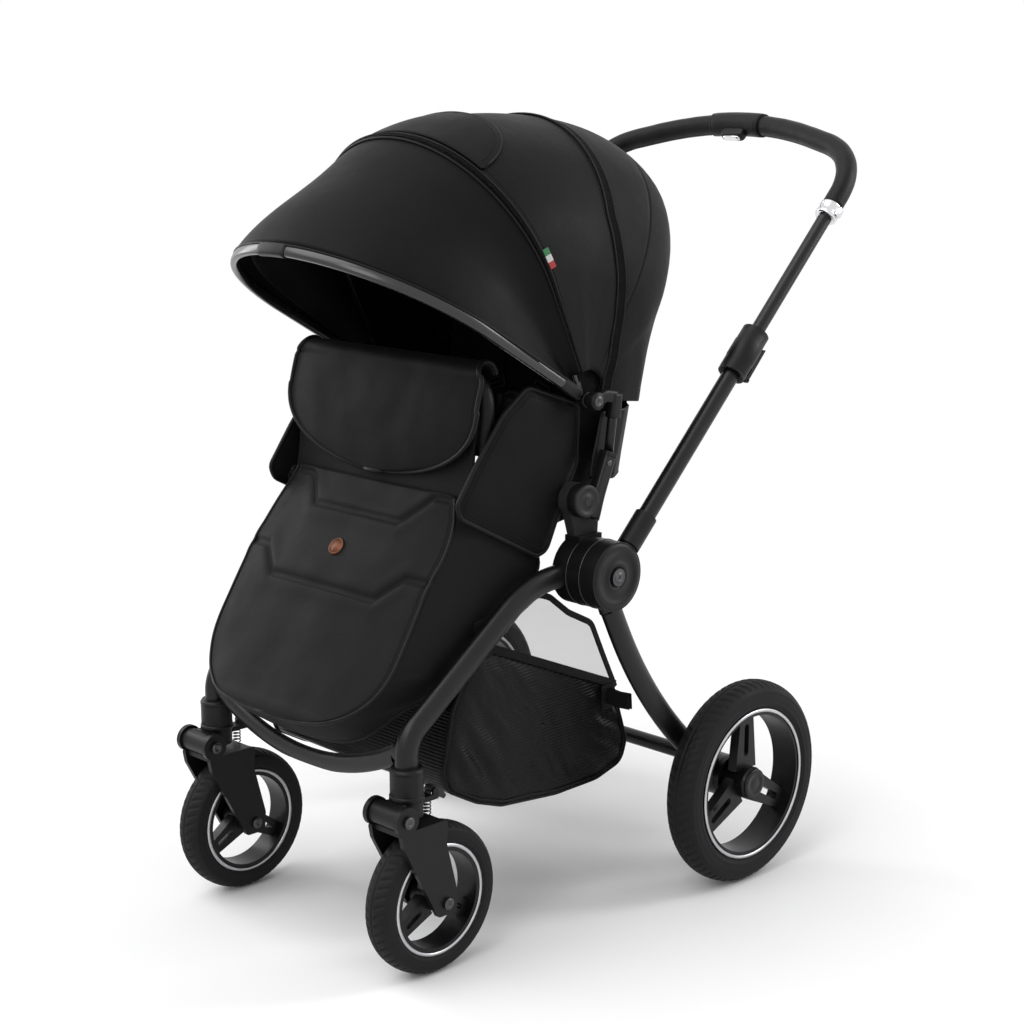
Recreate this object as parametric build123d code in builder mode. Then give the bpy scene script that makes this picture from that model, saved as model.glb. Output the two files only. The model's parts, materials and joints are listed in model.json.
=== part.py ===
"""Baby stroller: folding chassis on four air tyres, with a canopied seat unit and a footmuff.

Millimetres, +Z up, front towards -Y. The origin lies on the ground, under the middle of the
stroller's length and width. Each separate piece is one node, written to parts/.
"""
import os
from math import atan2, cos, hypot, radians, sin, sqrt, tan

from build123d import *

os.makedirs("parts", exist_ok=True)

# --------------------------------------------------------------------------- driving sizes
# Wheels
REAR_WHEEL_D = 300.0
REAR_TYRE_W = 51.0
REAR_TYRE_H = 40.0
REAR_TRACK = 586.0
FRONT_WHEEL_D = 206.0
FRONT_TYRE_W = 44.0
FRONT_TYRE_H = 29.0
FRONT_TRACK = 404.0
WHEELBASE = 533.0
REAR_AXLE_Y = 146.8
CASTER_TRAIL = 39.0

# Hub joints, on one cross axis ahead of the rear axle
HUB_AHEAD = 256.0
HUB_Z = 498.0
DRUM_R = 47.5
CORE_IN_X = 199.0
CORE_T = 27.0
RING_T = 23.5
DISC_T = 24.6
HINGE_PIN_R = 8.0

# Frame tubes
FRONT_LEG_W = 26.0
FRONT_LEG_D = 33.0
REAR_LEG_W = 23.0
REAR_LEG_D = 34.0
TUBE_WALL = 2.0
CROSS_BAR_D = 22.0
SLEEVE_R = 22.0
SLEEVE_Z = 249.0
SLEEVE_TOP_Z = 292.0
STEM_R = 8.0
BOW_DIP = 49.0

# Handle
HANDLE_ANGLE = 45.0
LOWER_TUBE_D = 25.0
UPPER_TUBE_D = 20.4
GRIP_D = 31.0
SOCKET_R = 16.0
CLAMP_AT = 386.0
CLAMP_LEN = 76.0
COLLAR_AT = 652.0
HANDLE_CORNER = 761.0
HANDLE_APEX = 845.0

# Seat unit, placed from the hub axis: rearwards and upwards
KNOB_BACK = -17.0
KNOB_UP = 100.0
KNOB_R = 23.0
SEAT_ARM_IN_X = 203.0
SEAT_ARM_T = 15.0
BACK_ARM_T = 17.0
CANOPY_BACK = 5.0
CANOPY_UP = 232.0
BACK_TILT = 12.0

# Soft goods
CLOTH_T = 3.0
WING_T = 10.5
WING_IN_X = 187.0
WING_STUD_BACK = -75.0
WING_STUD_UP = 122.0
WING_STUD_R = 5.0
MUFF_WALL = 7.0
BASKET_HALF_W = 188.0
BASKET_WALL = 3.0

# Clearances
RUN = 0.05      # radial, between a pin and its bore
SLIP = 0.3      # between faces that move past each other
SEAT_GAP = 0.3  # between a soft piece and its neighbour

# --------------------------------------------------------------------------- derived places
HUB_Y = REAR_AXLE_Y - HUB_AHEAD
FRONT_AXLE_Y = REAR_AXLE_Y - WHEELBASE
SWIVEL_Y = FRONT_AXLE_Y - CASTER_TRAIL
REAR_AXLE_Z = REAR_WHEEL_D / 2
FRONT_AXLE_Z = FRONT_WHEEL_D / 2
CORE_OUT_X = CORE_IN_X + CORE_T
RING_IN_X = CORE_OUT_X + SLIP
RING_OUT_X = RING_IN_X + RING_T
DISC_IN_X = RING_OUT_X + SLIP
DISC_OUT_X = DISC_IN_X + DISC_T
HANDLE_X = (DISC_IN_X + DISC_OUT_X) / 2
LEG_X = (RING_IN_X + RING_OUT_X) / 2
SIDES = {"right": 1, "left": -1}


def at_hub(back, up):
    """A (Y, Z) place given from the hub axis."""
    return (HUB_Y + back, HUB_Z + up)


def write(piece, name):
    """Label a finished piece and write it as its own node."""
    piece.part.label = name
    export_step(piece.part, f"parts/{name}.step")


def side_plane(x):
    """A plane across the stroller: its own X is the stroller's Y, its own Y is up."""
    return Plane.YZ.offset(x)


def cross_rod(x_low, x_high, y, z, radius, mode=Mode.ADD):
    """A cylinder along X between two X values, inside the current part."""
    with BuildSketch(side_plane(x_low)) as section:
        with Locations((y, z)):
            Circle(radius)
    extrude(section.sketch, amount=x_high - x_low, mode=mode)


def slab(outline, x_low, x_high, mode=Mode.ADD):
    """A straight-sided plate: an outline of (Y, Z) points, extruded along X."""
    with BuildSketch(side_plane(x_low)) as section:
        with BuildLine():
            Polyline(*outline, close=True)
        make_face()
    extrude(section.sketch, amount=x_high - x_low, mode=mode)


# --------------------------------------------------------------------------- wheels
TYRE_BEAD_SHARE = 0.84      # bead width against section width
TYRE_SHOULDER_SHARE = 0.86  # shoulder width against section width
TYRE_BELLY_SHARE = 0.45     # height of the widest point against section height
TYRE_SHOULDER_DROP = 0.28   # shoulder below the crown against section height
SPOKES = 3
SPOKE_T = 15.0
RIM_T = 8.0
REAR_HUB_R = 24.0
FRONT_HUB_R = 17.0
AXLE_R = 6.0
BOLT_R = 4.0
PIN_HOLES = 8
PIN_CIRCLE_R = 25.0
PIN_R = 3.0
PIN_HOLE_R = 4.2
BRAKE_FLANGE_R = 33.0
BRAKE_FLANGE_T = 8.0
REAR_HUB_IN = 25.0    # hub face inboard of the wheel's middle
REAR_HUB_OUT = 18.0
FRONT_HUB_HALF = 22.5
CAP_T = 7.0


def make_tyre(x, y, z, diameter, width, height):
    """A ring tyre about a cross axis: flat bead, round sidewalls and a crowned tread."""
    radius = diameter / 2
    seat = radius - height
    half = width / 2
    bead = (half * TYRE_BEAD_SHARE, seat)
    belly = (half, seat + height * TYRE_BELLY_SHARE)
    shoulder = (half * TYRE_SHOULDER_SHARE, radius - height * TYRE_SHOULDER_DROP)
    wheel_plane = Plane(origin=(x, y, z), x_dir=(1, 0, 0), z_dir=(0, -1, 0))
    with BuildPart() as tyre:
        with BuildSketch(wheel_plane):
            with BuildLine():
                Line((-bead[0], seat), bead)
                ThreePointArc(bead, belly, shoulder)
                ThreePointArc(shoulder, (0, radius), (-shoulder[0], shoulder[1]))
                ThreePointArc((-shoulder[0], shoulder[1]), (-belly[0], belly[1]), (-bead[0], seat))
            make_face()
        revolve(axis=Axis((x, y, z), (1, 0, 0)))
    return tyre


def make_rim(x, y, z, seat_r, barrel_half, hub_r, hub_low, hub_high, bore_r):
    """A rim barrel on three slotted spokes and a bored hub; hub faces are given along X."""
    barrel_r = seat_r - RIM_T
    spoke_plane = side_plane(x - SPOKE_T / 2)
    with BuildPart() as rim:
        with BuildSketch(side_plane(x - barrel_half)):
            with Locations((y, z)):
                Circle(seat_r - RUN)
                Circle(barrel_r, mode=Mode.SUBTRACT)
        extrude(amount=2 * barrel_half)
        cross_rod(hub_low, hub_high, y, z, hub_r)
        with BuildSketch(spoke_plane):
            for turn in range(SPOKES):
                angle = 90 + turn * 360 / SPOKES
                reach = barrel_r + RIM_T / 2
                foot = Vector(hub_r * 0.8, 0)
                with Locations(Location((y, z, 0), (0, 0, angle))):
                    with Locations(((foot.X + reach) / 2, 0)):
                        Trapezoid(hub_r * 1.9, reach - foot.X, 84, rotation=-90)
        extrude(amount=SPOKE_T)
        with BuildSketch(spoke_plane):
            for turn in range(SPOKES):
                angle = 90 + turn * 360 / SPOKES
                gap = barrel_r - hub_r
                with Locations(Location((y, z, 0), (0, 0, angle))):
                    with Locations((hub_r + gap / 2, 0)):
                        SlotOverall(gap * 0.62, hub_r * 0.42)
        extrude(amount=SPOKE_T, mode=Mode.SUBTRACT)
        cross_rod(hub_low, hub_high, y, z, bore_r, mode=Mode.SUBTRACT)
    return rim


for side_name, side in SIDES.items():
    # Rear wheel: tyre, rim with a brake flange on its inboard face, and a press-on cap
    wheel_x = side * REAR_TRACK / 2
    tyre = make_tyre(wheel_x, REAR_AXLE_Y, REAR_AXLE_Z, REAR_WHEEL_D, REAR_TYRE_W, REAR_TYRE_H)
    write(tyre, f"tyre_rear_{side_name}")
    inner_face = side * (REAR_TRACK / 2 - REAR_HUB_IN)
    outer_face = side * (REAR_TRACK / 2 + REAR_HUB_OUT)
    rim = make_rim(wheel_x, REAR_AXLE_Y, REAR_AXLE_Z, REAR_WHEEL_D / 2 - REAR_TYRE_H,
                   REAR_TYRE_W / 2 * TYRE_BEAD_SHARE, REAR_HUB_R,
                   min(inner_face, outer_face), max(inner_face, outer_face), AXLE_R + RUN)
    with rim:
        with BuildSketch(side_plane(inner_face)) as flange:
            with Locations((REAR_AXLE_Y, REAR_AXLE_Z)):
                Circle(BRAKE_FLANGE_R)
                Circle(AXLE_R + RUN, mode=Mode.SUBTRACT)
        extrude(flange.sketch, amount=side * BRAKE_FLANGE_T)
        with BuildSketch(side_plane(inner_face)) as pin_holes:
            with Locations((REAR_AXLE_Y, REAR_AXLE_Z)):
                with PolarLocations(PIN_CIRCLE_R, PIN_HOLES, start_angle=90):
                    Circle(PIN_HOLE_R)
        extrude(pin_holes.sketch, amount=side * BRAKE_FLANGE_T, mode=Mode.SUBTRACT)
        with BuildSketch(side_plane(outer_face)) as cap_base:
            with Locations((REAR_AXLE_Y, REAR_AXLE_Z)):
                Circle(REAR_HUB_R - 1)
        extrude(cap_base.sketch, amount=side * CAP_T, taper=30)
    write(rim, f"rim_rear_{side_name}")

    # Front wheel
    wheel_x = side * FRONT_TRACK / 2
    tyre = make_tyre(wheel_x, FRONT_AXLE_Y, FRONT_AXLE_Z, FRONT_WHEEL_D, FRONT_TYRE_W,
                     FRONT_TYRE_H)
    write(tyre, f"tyre_front_{side_name}")
    rim = make_rim(wheel_x, FRONT_AXLE_Y, FRONT_AXLE_Z, FRONT_WHEEL_D / 2 - FRONT_TYRE_H,
                   FRONT_TYRE_W / 2 * TYRE_BEAD_SHARE, FRONT_HUB_R,
                   wheel_x - FRONT_HUB_HALF, wheel_x + FRONT_HUB_HALF, BOLT_R + RUN)
    write(rim, f"rim_front_{side_name}")

# --------------------------------------------------------------------------- front casters
PIVOT_AHEAD = 28.0     # fork pivot ahead of the swivel axis
PIVOT_Z = 232.5
BARREL_R = 15.5
FORK_GAP = 52.0        # between the blades
BLADE_T = 7.0
BLADE_AXLE_R = 16.0
EAR_R = 19.0
CROWN_LOW_Z = 209.5
CROWN_TOP_Z = 218.5
SHOULDER_FRONT = 78.0  # blade shoulders, ahead of and behind the front axle
SHOULDER_REAR = 2.0
HOUSING_LOW_Z = 227.0
ARM_LOW_Z = 239.0
ARM_TOP_Z = 246.0
SPRING_R = 6.0
SPRING_WIRE_R = 0.9
SPRING_TURNS = 4
SPRING_BACK = 34.0     # spring behind the swivel axis
LOCK_PIVOT_BACK = 42.0
LOCK_PIVOT_Z = 252.0
LOCK_PIN_R = 2.0
LOCK_W = 10.0
LOCK_RING_R = 5.0
BOLT_HEAD_R = 8.0
BOLT_HEAD_T = 4.0

PIVOT_Y = SWIVEL_Y - PIVOT_AHEAD
for side_name, side in SIDES.items():
    mid_x = side * FRONT_TRACK / 2
    lock_y = SWIVEL_Y + LOCK_PIVOT_BACK

    # Knuckle: swivel stem, housing, cross barrel, spring arm and the lock lever's ears
    with BuildPart() as knuckle:
        with BuildSketch(Plane.XY.offset(HOUSING_LOW_Z)):
            with Locations((mid_x, SWIVEL_Y)):
                Circle(SLEEVE_R - 1)
        extrude(amount=SLEEVE_Z - SLIP - HOUSING_LOW_Z)
        with BuildSketch(Plane.XY.offset(HOUSING_LOW_Z)):
            with Locations((mid_x, SWIVEL_Y)):
                Circle(STEM_R)
        extrude(amount=SLEEVE_TOP_Z - 8 - HOUSING_LOW_Z)
        cross_rod(mid_x - FORK_GAP / 2 + SLIP, mid_x + FORK_GAP / 2 - SLIP, PIVOT_Y, PIVOT_Z, BARREL_R)
        slab([(PIVOT_Y, HOUSING_LOW_Z), (SWIVEL_Y, HOUSING_LOW_Z), (SWIVEL_Y, SLEEVE_Z - SLIP),
              (PIVOT_Y, SLEEVE_Z - SLIP)], mid_x - 15, mid_x + 15)
        slab([(SWIVEL_Y, ARM_LOW_Z), (lock_y + LOCK_RING_R, ARM_LOW_Z),
              (lock_y + LOCK_RING_R, ARM_TOP_Z), (SWIVEL_Y, ARM_TOP_Z)], mid_x - 9, mid_x + 9)
        for ear_x in (mid_x - 9, mid_x + LOCK_W / 2 + SLIP):
            slab([(lock_y - 4, ARM_TOP_Z - 1), (lock_y + 4, ARM_TOP_Z - 1), (lock_y + 4, LOCK_PIVOT_Z),
                  (lock_y, LOCK_PIVOT_Z + 4), (lock_y - 4, LOCK_PIVOT_Z)],
                 ear_x, ear_x + 9 - LOCK_W / 2 - SLIP)
        slab([(lock_y - LOCK_RING_R - 1, ARM_LOW_Z - 1), (lock_y + LOCK_RING_R + 1, ARM_LOW_Z - 1),
              (lock_y + LOCK_RING_R + 1, LOCK_PIVOT_Z + LOCK_RING_R),
              (lock_y - LOCK_RING_R - 1, LOCK_PIVOT_Z + LOCK_RING_R)],
             mid_x - LOCK_W / 2 - SLIP, mid_x + LOCK_W / 2 + SLIP, mode=Mode.SUBTRACT)
        cross_rod(mid_x - 7, mid_x + 7, lock_y, LOCK_PIVOT_Z, LOCK_PIN_R)
        cross_rod(mid_x - FORK_GAP / 2, mid_x + FORK_GAP / 2, PIVOT_Y, PIVOT_Z, BOLT_R + RUN,
                  mode=Mode.SUBTRACT)
    write(knuckle, f"caster_knuckle_{side_name}")

    # Swivel lock: a hooked lever on the knuckle's rear ears
    with BuildPart() as lock:
        cross_rod(mid_x - LOCK_W / 2, mid_x + LOCK_W / 2, lock_y, LOCK_PIVOT_Z, LOCK_RING_R)
        slab([(lock_y, LOCK_PIVOT_Z + 4.5), (lock_y + 13, LOCK_PIVOT_Z - 1), (lock_y + 22, LOCK_PIVOT_Z - 14),
              (lock_y + 18, LOCK_PIVOT_Z - 18), (lock_y + 10, LOCK_PIVOT_Z - 6), (lock_y, LOCK_PIVOT_Z - 3)],
             mid_x - LOCK_W / 2, mid_x + LOCK_W / 2)
        cross_rod(mid_x - LOCK_W / 2, mid_x + LOCK_W / 2, lock_y, LOCK_PIVOT_Z, LOCK_PIN_R + RUN,
                  mode=Mode.SUBTRACT)
    write(lock, f"swivel_lock_{side_name}")

    # Suspension spring, standing between the fork's crown and the knuckle's arm
    spring_y = SWIVEL_Y + SPRING_BACK
    spring_low = CROWN_TOP_Z + SPRING_WIRE_R + SEAT_GAP
    spring_high = ARM_LOW_Z - SPRING_WIRE_R - SEAT_GAP
    with BuildPart() as spring:
        with BuildLine(Plane(origin=(mid_x, spring_y, spring_low))) as coil:
            Helix(pitch=(spring_high - spring_low) / SPRING_TURNS, height=spring_high - spring_low,
                  radius=SPRING_R - SPRING_WIRE_R)
        with BuildSketch(Plane(origin=coil.line @ 0, z_dir=coil.line % 0)):
            Circle(SPRING_WIRE_R)
        sweep(path=coil.line, is_frenet=True)
    write(spring, f"fork_spring_{side_name}")

    # Fork: two tapered blades with pivot ears, joined by a crown over the tyre
    inner = FORK_GAP / 2
    with BuildPart() as fork:
        for blade_x in (mid_x - inner - BLADE_T, mid_x + inner):
            with BuildSketch(side_plane(blade_x)):
                with BuildLine():
                    FilletPolyline((FRONT_AXLE_Y - BLADE_AXLE_R, FRONT_AXLE_Z - BLADE_AXLE_R),
                                   (FRONT_AXLE_Y + BLADE_AXLE_R, FRONT_AXLE_Z - BLADE_AXLE_R),
                                   (FRONT_AXLE_Y + BLADE_AXLE_R + 2, FRONT_AXLE_Z + 12),
                                   (FRONT_AXLE_Y + SHOULDER_REAR - 2, CROWN_LOW_Z - 25),
                                   (FRONT_AXLE_Y + SHOULDER_REAR, CROWN_TOP_Z),
                                   (FRONT_AXLE_Y - SHOULDER_FRONT, CROWN_TOP_Z),
                                   (FRONT_AXLE_Y - SHOULDER_FRONT + 4, CROWN_LOW_Z - 12),
                                   radius=6, close=True)
                make_face()
                with Locations((PIVOT_Y, PIVOT_Z)):
                    Circle(EAR_R)
            extrude(amount=BLADE_T)
        slab([(FRONT_AXLE_Y - SHOULDER_FRONT + 6, CROWN_LOW_Z), (FRONT_AXLE_Y + SHOULDER_REAR - 6, CROWN_LOW_Z),
              (FRONT_AXLE_Y + SHOULDER_REAR - 6, CROWN_TOP_Z), (FRONT_AXLE_Y - SHOULDER_FRONT + 6, CROWN_TOP_Z)],
             mid_x - inner - 1, mid_x + inner + 1)
        with BuildSketch(side_plane(mid_x - inner)):
            with Locations((PIVOT_Y, PIVOT_Z)):
                Circle(BARREL_R + 1.5)
        extrude(amount=FORK_GAP, mode=Mode.SUBTRACT)
        for bore_y, bore_z in ((PIVOT_Y, PIVOT_Z), (FRONT_AXLE_Y, FRONT_AXLE_Z)):
            cross_rod(mid_x - inner - BLADE_T, mid_x + inner + BLADE_T, bore_y, bore_z, BOLT_R + RUN,
                      mode=Mode.SUBTRACT)
    write(fork, f"fork_{side_name}")

    # Fork bolts: the wheel axle and the pivot bolt, each with a head outside both blades
    with BuildPart() as bolts:
        for bolt_y, bolt_z in ((FRONT_AXLE_Y, FRONT_AXLE_Z), (PIVOT_Y, PIVOT_Z)):
            cross_rod(mid_x - inner - BLADE_T, mid_x + inner + BLADE_T, bolt_y, bolt_z, BOLT_R)
            cross_rod(mid_x + inner + BLADE_T, mid_x + inner + BLADE_T + BOLT_HEAD_T, bolt_y, bolt_z,
                      BOLT_HEAD_R)
            cross_rod(mid_x - inner - BLADE_T - BOLT_HEAD_T, mid_x - inner - BLADE_T, bolt_y, bolt_z,
                      BOLT_HEAD_R)
    write(bolts, f"fork_bolts_{side_name}")

# --------------------------------------------------------------------------- chassis
LEG_SOCKET = 52.0        # reach of the hub core's leg socket
LEG_KNEE = 100.0         # first bend of the leg, ahead of the hub axis
LEG_KNEE_DROP = 4.0
LEG_KNEE_TANGENT = 47.0  # straight length that the knee's round takes on each side
LEG_ANKLE_R = 50.0
LEG_ANKLE_RISE = 36.0
LEG_ROOT_X = CORE_IN_X + CORE_T / 2
CASTING_REACH = 20.0     # leg casting, inwards from the swivel axis to the crossbar
CASTING_X = FRONT_TRACK / 2 - CASTING_REACH
BOW_W = 18.0
BOW_H = 26.0
BOW_END_Z = 306.0
ADAPTER_W = 11.0         # seat adapter tongue
ADAPTER_D = 30.0
ADAPTER_X = 212.0
ADAPTER_TOP = 50.0       # top of the hub's adapter block above the hub axis
ADAPTER_DEPTH = 38.0


def leg_plane(side):
    """Upright plane through the hub end of a front leg and its swivel axis."""
    along = Vector(side * (FRONT_TRACK / 2 - LEG_ROOT_X), SWIVEL_Y - HUB_Y, 0).normalized()
    return Plane(origin=(side * LEG_ROOT_X, HUB_Y, 0), x_dir=along, z_dir=along.cross(Vector(0, 0, 1)))


def leg_run():
    """Level length of the front leg, from the hub axis to the swivel axis."""
    return hypot(FRONT_TRACK / 2 - LEG_ROOT_X, SWIVEL_Y - HUB_Y)


knee_slope = -LEG_KNEE_DROP / LEG_KNEE
socket_end = (LEG_SOCKET, HUB_Z + knee_slope * LEG_SOCKET)
leg_fall = HUB_Z - LEG_KNEE_DROP - SLEEVE_TOP_Z - LEG_ANKLE_RISE
knee_turn = atan2(leg_fall, leg_run() - LEG_KNEE) - atan2(LEG_KNEE_DROP, LEG_KNEE)
knee_r = LEG_KNEE_TANGENT / tan(knee_turn / 2)
for side_name, side in SIDES.items():
    plane = leg_plane(side)
    run = leg_run()
    along = plane.x_dir * 1.0 + Vector(0, 0, 1) * knee_slope
    start = plane.from_local_coords(Vector(socket_end[0], socket_end[1], 0))
    with BuildPart() as leg:
        with BuildLine(plane) as path:
            FilletPolyline(socket_end, (LEG_KNEE, HUB_Z - LEG_KNEE_DROP),
                           (run, SLEEVE_TOP_Z + LEG_ANKLE_RISE), (run, SLEEVE_TOP_Z),
                           radius=[knee_r, LEG_ANKLE_R])
        with BuildSketch(Plane(origin=start, x_dir=plane.z_dir, z_dir=along)):
            Ellipse(FRONT_LEG_W / 2, FRONT_LEG_D / 2)
            Ellipse(FRONT_LEG_W / 2 - TUBE_WALL, FRONT_LEG_D / 2 - TUBE_WALL, mode=Mode.SUBTRACT)
        sweep(path=path.line)
        # Casting that takes the crossbar
        with BuildSketch(side_plane(side * CASTING_X)):
            with Locations((SWIVEL_Y, BOW_END_Z + 2)):
                Ellipse(BOW_W / 2, BOW_H / 2)
        extrude(amount=side * (FRONT_TRACK / 2 - CASTING_X))
    write(leg, f"front_leg_{side_name}")

# Hub cores: fixed drums with the leg socket in front and the seat adapter's pocket on top
with BuildPart() as cores:
    for side in SIDES.values():
        plane = leg_plane(side)
        along = plane.x_dir * 1.0 + Vector(0, 0, 1) * knee_slope
        low_x = min(side * CORE_IN_X, side * CORE_OUT_X)
        high_x = max(side * CORE_IN_X, side * CORE_OUT_X)
        cross_rod(low_x, high_x, HUB_Y, HUB_Z, DRUM_R)
        with BuildSketch(Plane(origin=(side * LEG_ROOT_X, HUB_Y, HUB_Z), x_dir=plane.z_dir, z_dir=along)):
            Ellipse(FRONT_LEG_W / 2, FRONT_LEG_D / 2)
        extrude(amount=LEG_SOCKET * sqrt(1 + knee_slope**2))
        slab([at_hub(-22, 30), at_hub(22, 30), at_hub(22, ADAPTER_TOP), at_hub(-22, ADAPTER_TOP)],
             low_x, high_x)
        with BuildSketch(Plane.XY.offset(HUB_Z + ADAPTER_TOP)):
            with Locations((side * ADAPTER_X, HUB_Y)):
                Rectangle(ADAPTER_W + 2 * SLIP, ADAPTER_D + 2 * SLIP)
        extrude(amount=-ADAPTER_DEPTH, mode=Mode.SUBTRACT)
        cross_rod(low_x, high_x, HUB_Y, HUB_Z, HINGE_PIN_R, mode=Mode.SUBTRACT)
write(cores, "hub_cores")

# Hub bolts: the hinge pins that the rear legs and the handle turn on, with flat heads outside
HEAD_T = 3.5
with BuildPart() as hub_bolts:
    for side in SIDES.values():
        ends = sorted((side * CORE_IN_X, side * (DISC_OUT_X + SLIP)))
        cross_rod(ends[0], ends[1], HUB_Y, HUB_Z, HINGE_PIN_R)
        heads = sorted((side * (DISC_OUT_X + SLIP), side * (DISC_OUT_X + SLIP + HEAD_T)))
        cross_rod(heads[0], heads[1], HUB_Y, HUB_Z, HINGE_PIN_R + 4)
write(hub_bolts, "hub_bolts")

# Swivel sleeves at the feet of the front legs
with BuildPart() as sleeves:
    for side in SIDES.values():
        with BuildSketch(Plane.XY.offset(SLEEVE_Z)):
            with Locations((side * FRONT_TRACK / 2, SWIVEL_Y)):
                Circle(SLEEVE_R)
                Circle(STEM_R + RUN, mode=Mode.SUBTRACT)
        extrude(amount=SLEEVE_TOP_Z - SLEEVE_Z - 6)
        with BuildSketch(Plane.XY.offset(SLEEVE_TOP_Z - 6)):
            with Locations((side * FRONT_TRACK / 2, SWIVEL_Y)):
                Circle(SLEEVE_R - 2)
        extrude(amount=6)
write(sleeves, "swivel_sleeves")

# Front crossbar: an oval bar that dips between the two leg castings
with BuildPart() as crossbar:
    bow_plane = Plane(origin=(0, SWIVEL_Y, 0), x_dir=(1, 0, 0), z_dir=(0, -1, 0))
    bow_end = CASTING_X + BOW_W
    with BuildLine(bow_plane) as path:
        ThreePointArc((-bow_end, BOW_END_Z + BOW_W / 2), (0, BOW_END_Z - BOW_DIP),
                      (bow_end, BOW_END_Z + BOW_W / 2))
    with BuildSketch(Plane(origin=path.line @ 0, x_dir=(0, 1, 0), z_dir=path.line % 0)):
        Ellipse(BOW_W / 2, BOW_H / 2)
    sweep(path=path.line)
    # Square ends that meet the leg castings
    slab([(SWIVEL_Y - BOW_H, SLEEVE_Z), (SWIVEL_Y + BOW_H, SLEEVE_Z), (SWIVEL_Y + BOW_H, HUB_Z),
          (SWIVEL_Y - BOW_H, HUB_Z)], -CASTING_X, CASTING_X, mode=Mode.INTERSECT)
write(crossbar, "front_crossbar")

# --------------------------------------------------------------------------- rear frame
KNEE_ALONG = 249.0     # bend of the rear leg along the line from hub to axle, and below it
KNEE_BELOW = 51.3
KNEE_R = 640.0
RING_BOSS = 60.0
AXLE_BOSS_R = 31.0
AXLE_BOSS_IN_X = 243.0
AXLE_BOSS_GAP = 2.7    # between the boss and the wheel hub
LEG_FOOT_X = 255.0
BAR_ALONG = 374.0      # cross bar along the line from hub to axle, and below it
BAR_BELOW = 15.8
BAR_END_X = 238.0

hub_to_axle = Vector(0, HUB_AHEAD, REAR_AXLE_Z - HUB_Z)
axle_span = hub_to_axle.length
down_leg = hub_to_axle * (1 / axle_span)
below_leg = Vector(0, down_leg.Z, -down_leg.Y)
bar_y = HUB_Y + down_leg.Y * BAR_ALONG + below_leg.Y * BAR_BELOW
bar_z = HUB_Z + down_leg.Z * BAR_ALONG + below_leg.Z * BAR_BELOW
boss_out_x = REAR_TRACK / 2 - REAR_HUB_IN - AXLE_BOSS_GAP
pin_z = REAR_AXLE_Z + PIN_CIRCLE_R

for side_name, side in SIDES.items():
    splay = Vector(side * (LEG_FOOT_X - LEG_X), 0, 0)
    e_down = (hub_to_axle + splay).normalized()
    e_below = below_leg
    leg_frame = Plane(origin=(side * LEG_X, HUB_Y, HUB_Z), x_dir=e_down, z_dir=e_down.cross(e_below))
    bend = Vector(KNEE_ALONG, KNEE_BELOW, 0)
    first = bend.normalized()
    root = first * RING_BOSS
    first_dir = leg_frame.x_dir * first.X + leg_frame.y_dir * first.Y
    root_at = leg_frame.from_local_coords(root)
    with BuildPart() as leg:
        ring = sorted((side * RING_IN_X, side * RING_OUT_X))
        cross_rod(ring[0], ring[1], HUB_Y, HUB_Z, DRUM_R)
        first_yz = Vector(0, first_dir.Y, first_dir.Z).normalized()
        with BuildSketch(Plane(origin=(side * LEG_X, HUB_Y, HUB_Z), x_dir=(1, 0, 0), z_dir=first_yz)):
            Ellipse(REAR_LEG_W / 2, REAR_LEG_D / 2)
        extrude(amount=RING_BOSS + 1)
        with BuildLine(leg_frame) as path:
            FilletPolyline((root.X, root.Y), (bend.X, bend.Y), (axle_span, 0), radius=KNEE_R)
        with BuildSketch(Plane(origin=root_at, x_dir=leg_frame.z_dir, z_dir=first_dir)):
            Ellipse(REAR_LEG_W / 2, REAR_LEG_D / 2)
        sweep(path=path.line)
        boss = sorted((side * AXLE_BOSS_IN_X, side * boss_out_x))
        cross_rod(boss[0], boss[1], REAR_AXLE_Y, REAR_AXLE_Z, AXLE_BOSS_R)
        bar = sorted((side * BAR_END_X, side * LEG_FOOT_X))
        cross_rod(bar[0], bar[1], bar_y, bar_z, CROSS_BAR_D / 2 + 3)
        cross_rod(ring[0], ring[1], HUB_Y, HUB_Z, HINGE_PIN_R + RUN, mode=Mode.SUBTRACT)
        cross_rod(boss[0] - 30, boss[1] + 30, REAR_AXLE_Y, REAR_AXLE_Z, AXLE_R + RUN, mode=Mode.SUBTRACT)
        cross_rod(boss[0] - 30, boss[1] + 30, REAR_AXLE_Y, pin_z, PIN_R + RUN, mode=Mode.SUBTRACT)
    write(leg, f"rear_leg_{side_name}")

# Stub axles, held in the leg bosses and carrying the rear wheels
with BuildPart() as axles:
    for side in SIDES.values():
        ends = sorted((side * AXLE_BOSS_IN_X, side * (REAR_TRACK / 2 + REAR_HUB_OUT - 2)))
        cross_rod(ends[0], ends[1], REAR_AXLE_Y, REAR_AXLE_Z, AXLE_R)
write(axles, "rear_axles")

# Cross bar between the rear legs
with BuildPart() as rear_bar:
    cross_rod(-BAR_END_X, BAR_END_X, bar_y, bar_z, CROSS_BAR_D / 2)
    cross_rod(-BAR_END_X, BAR_END_X, bar_y, bar_z, CROSS_BAR_D / 2 - TUBE_WALL, mode=Mode.SUBTRACT)
write(rear_bar, "rear_cross_bar")

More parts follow.
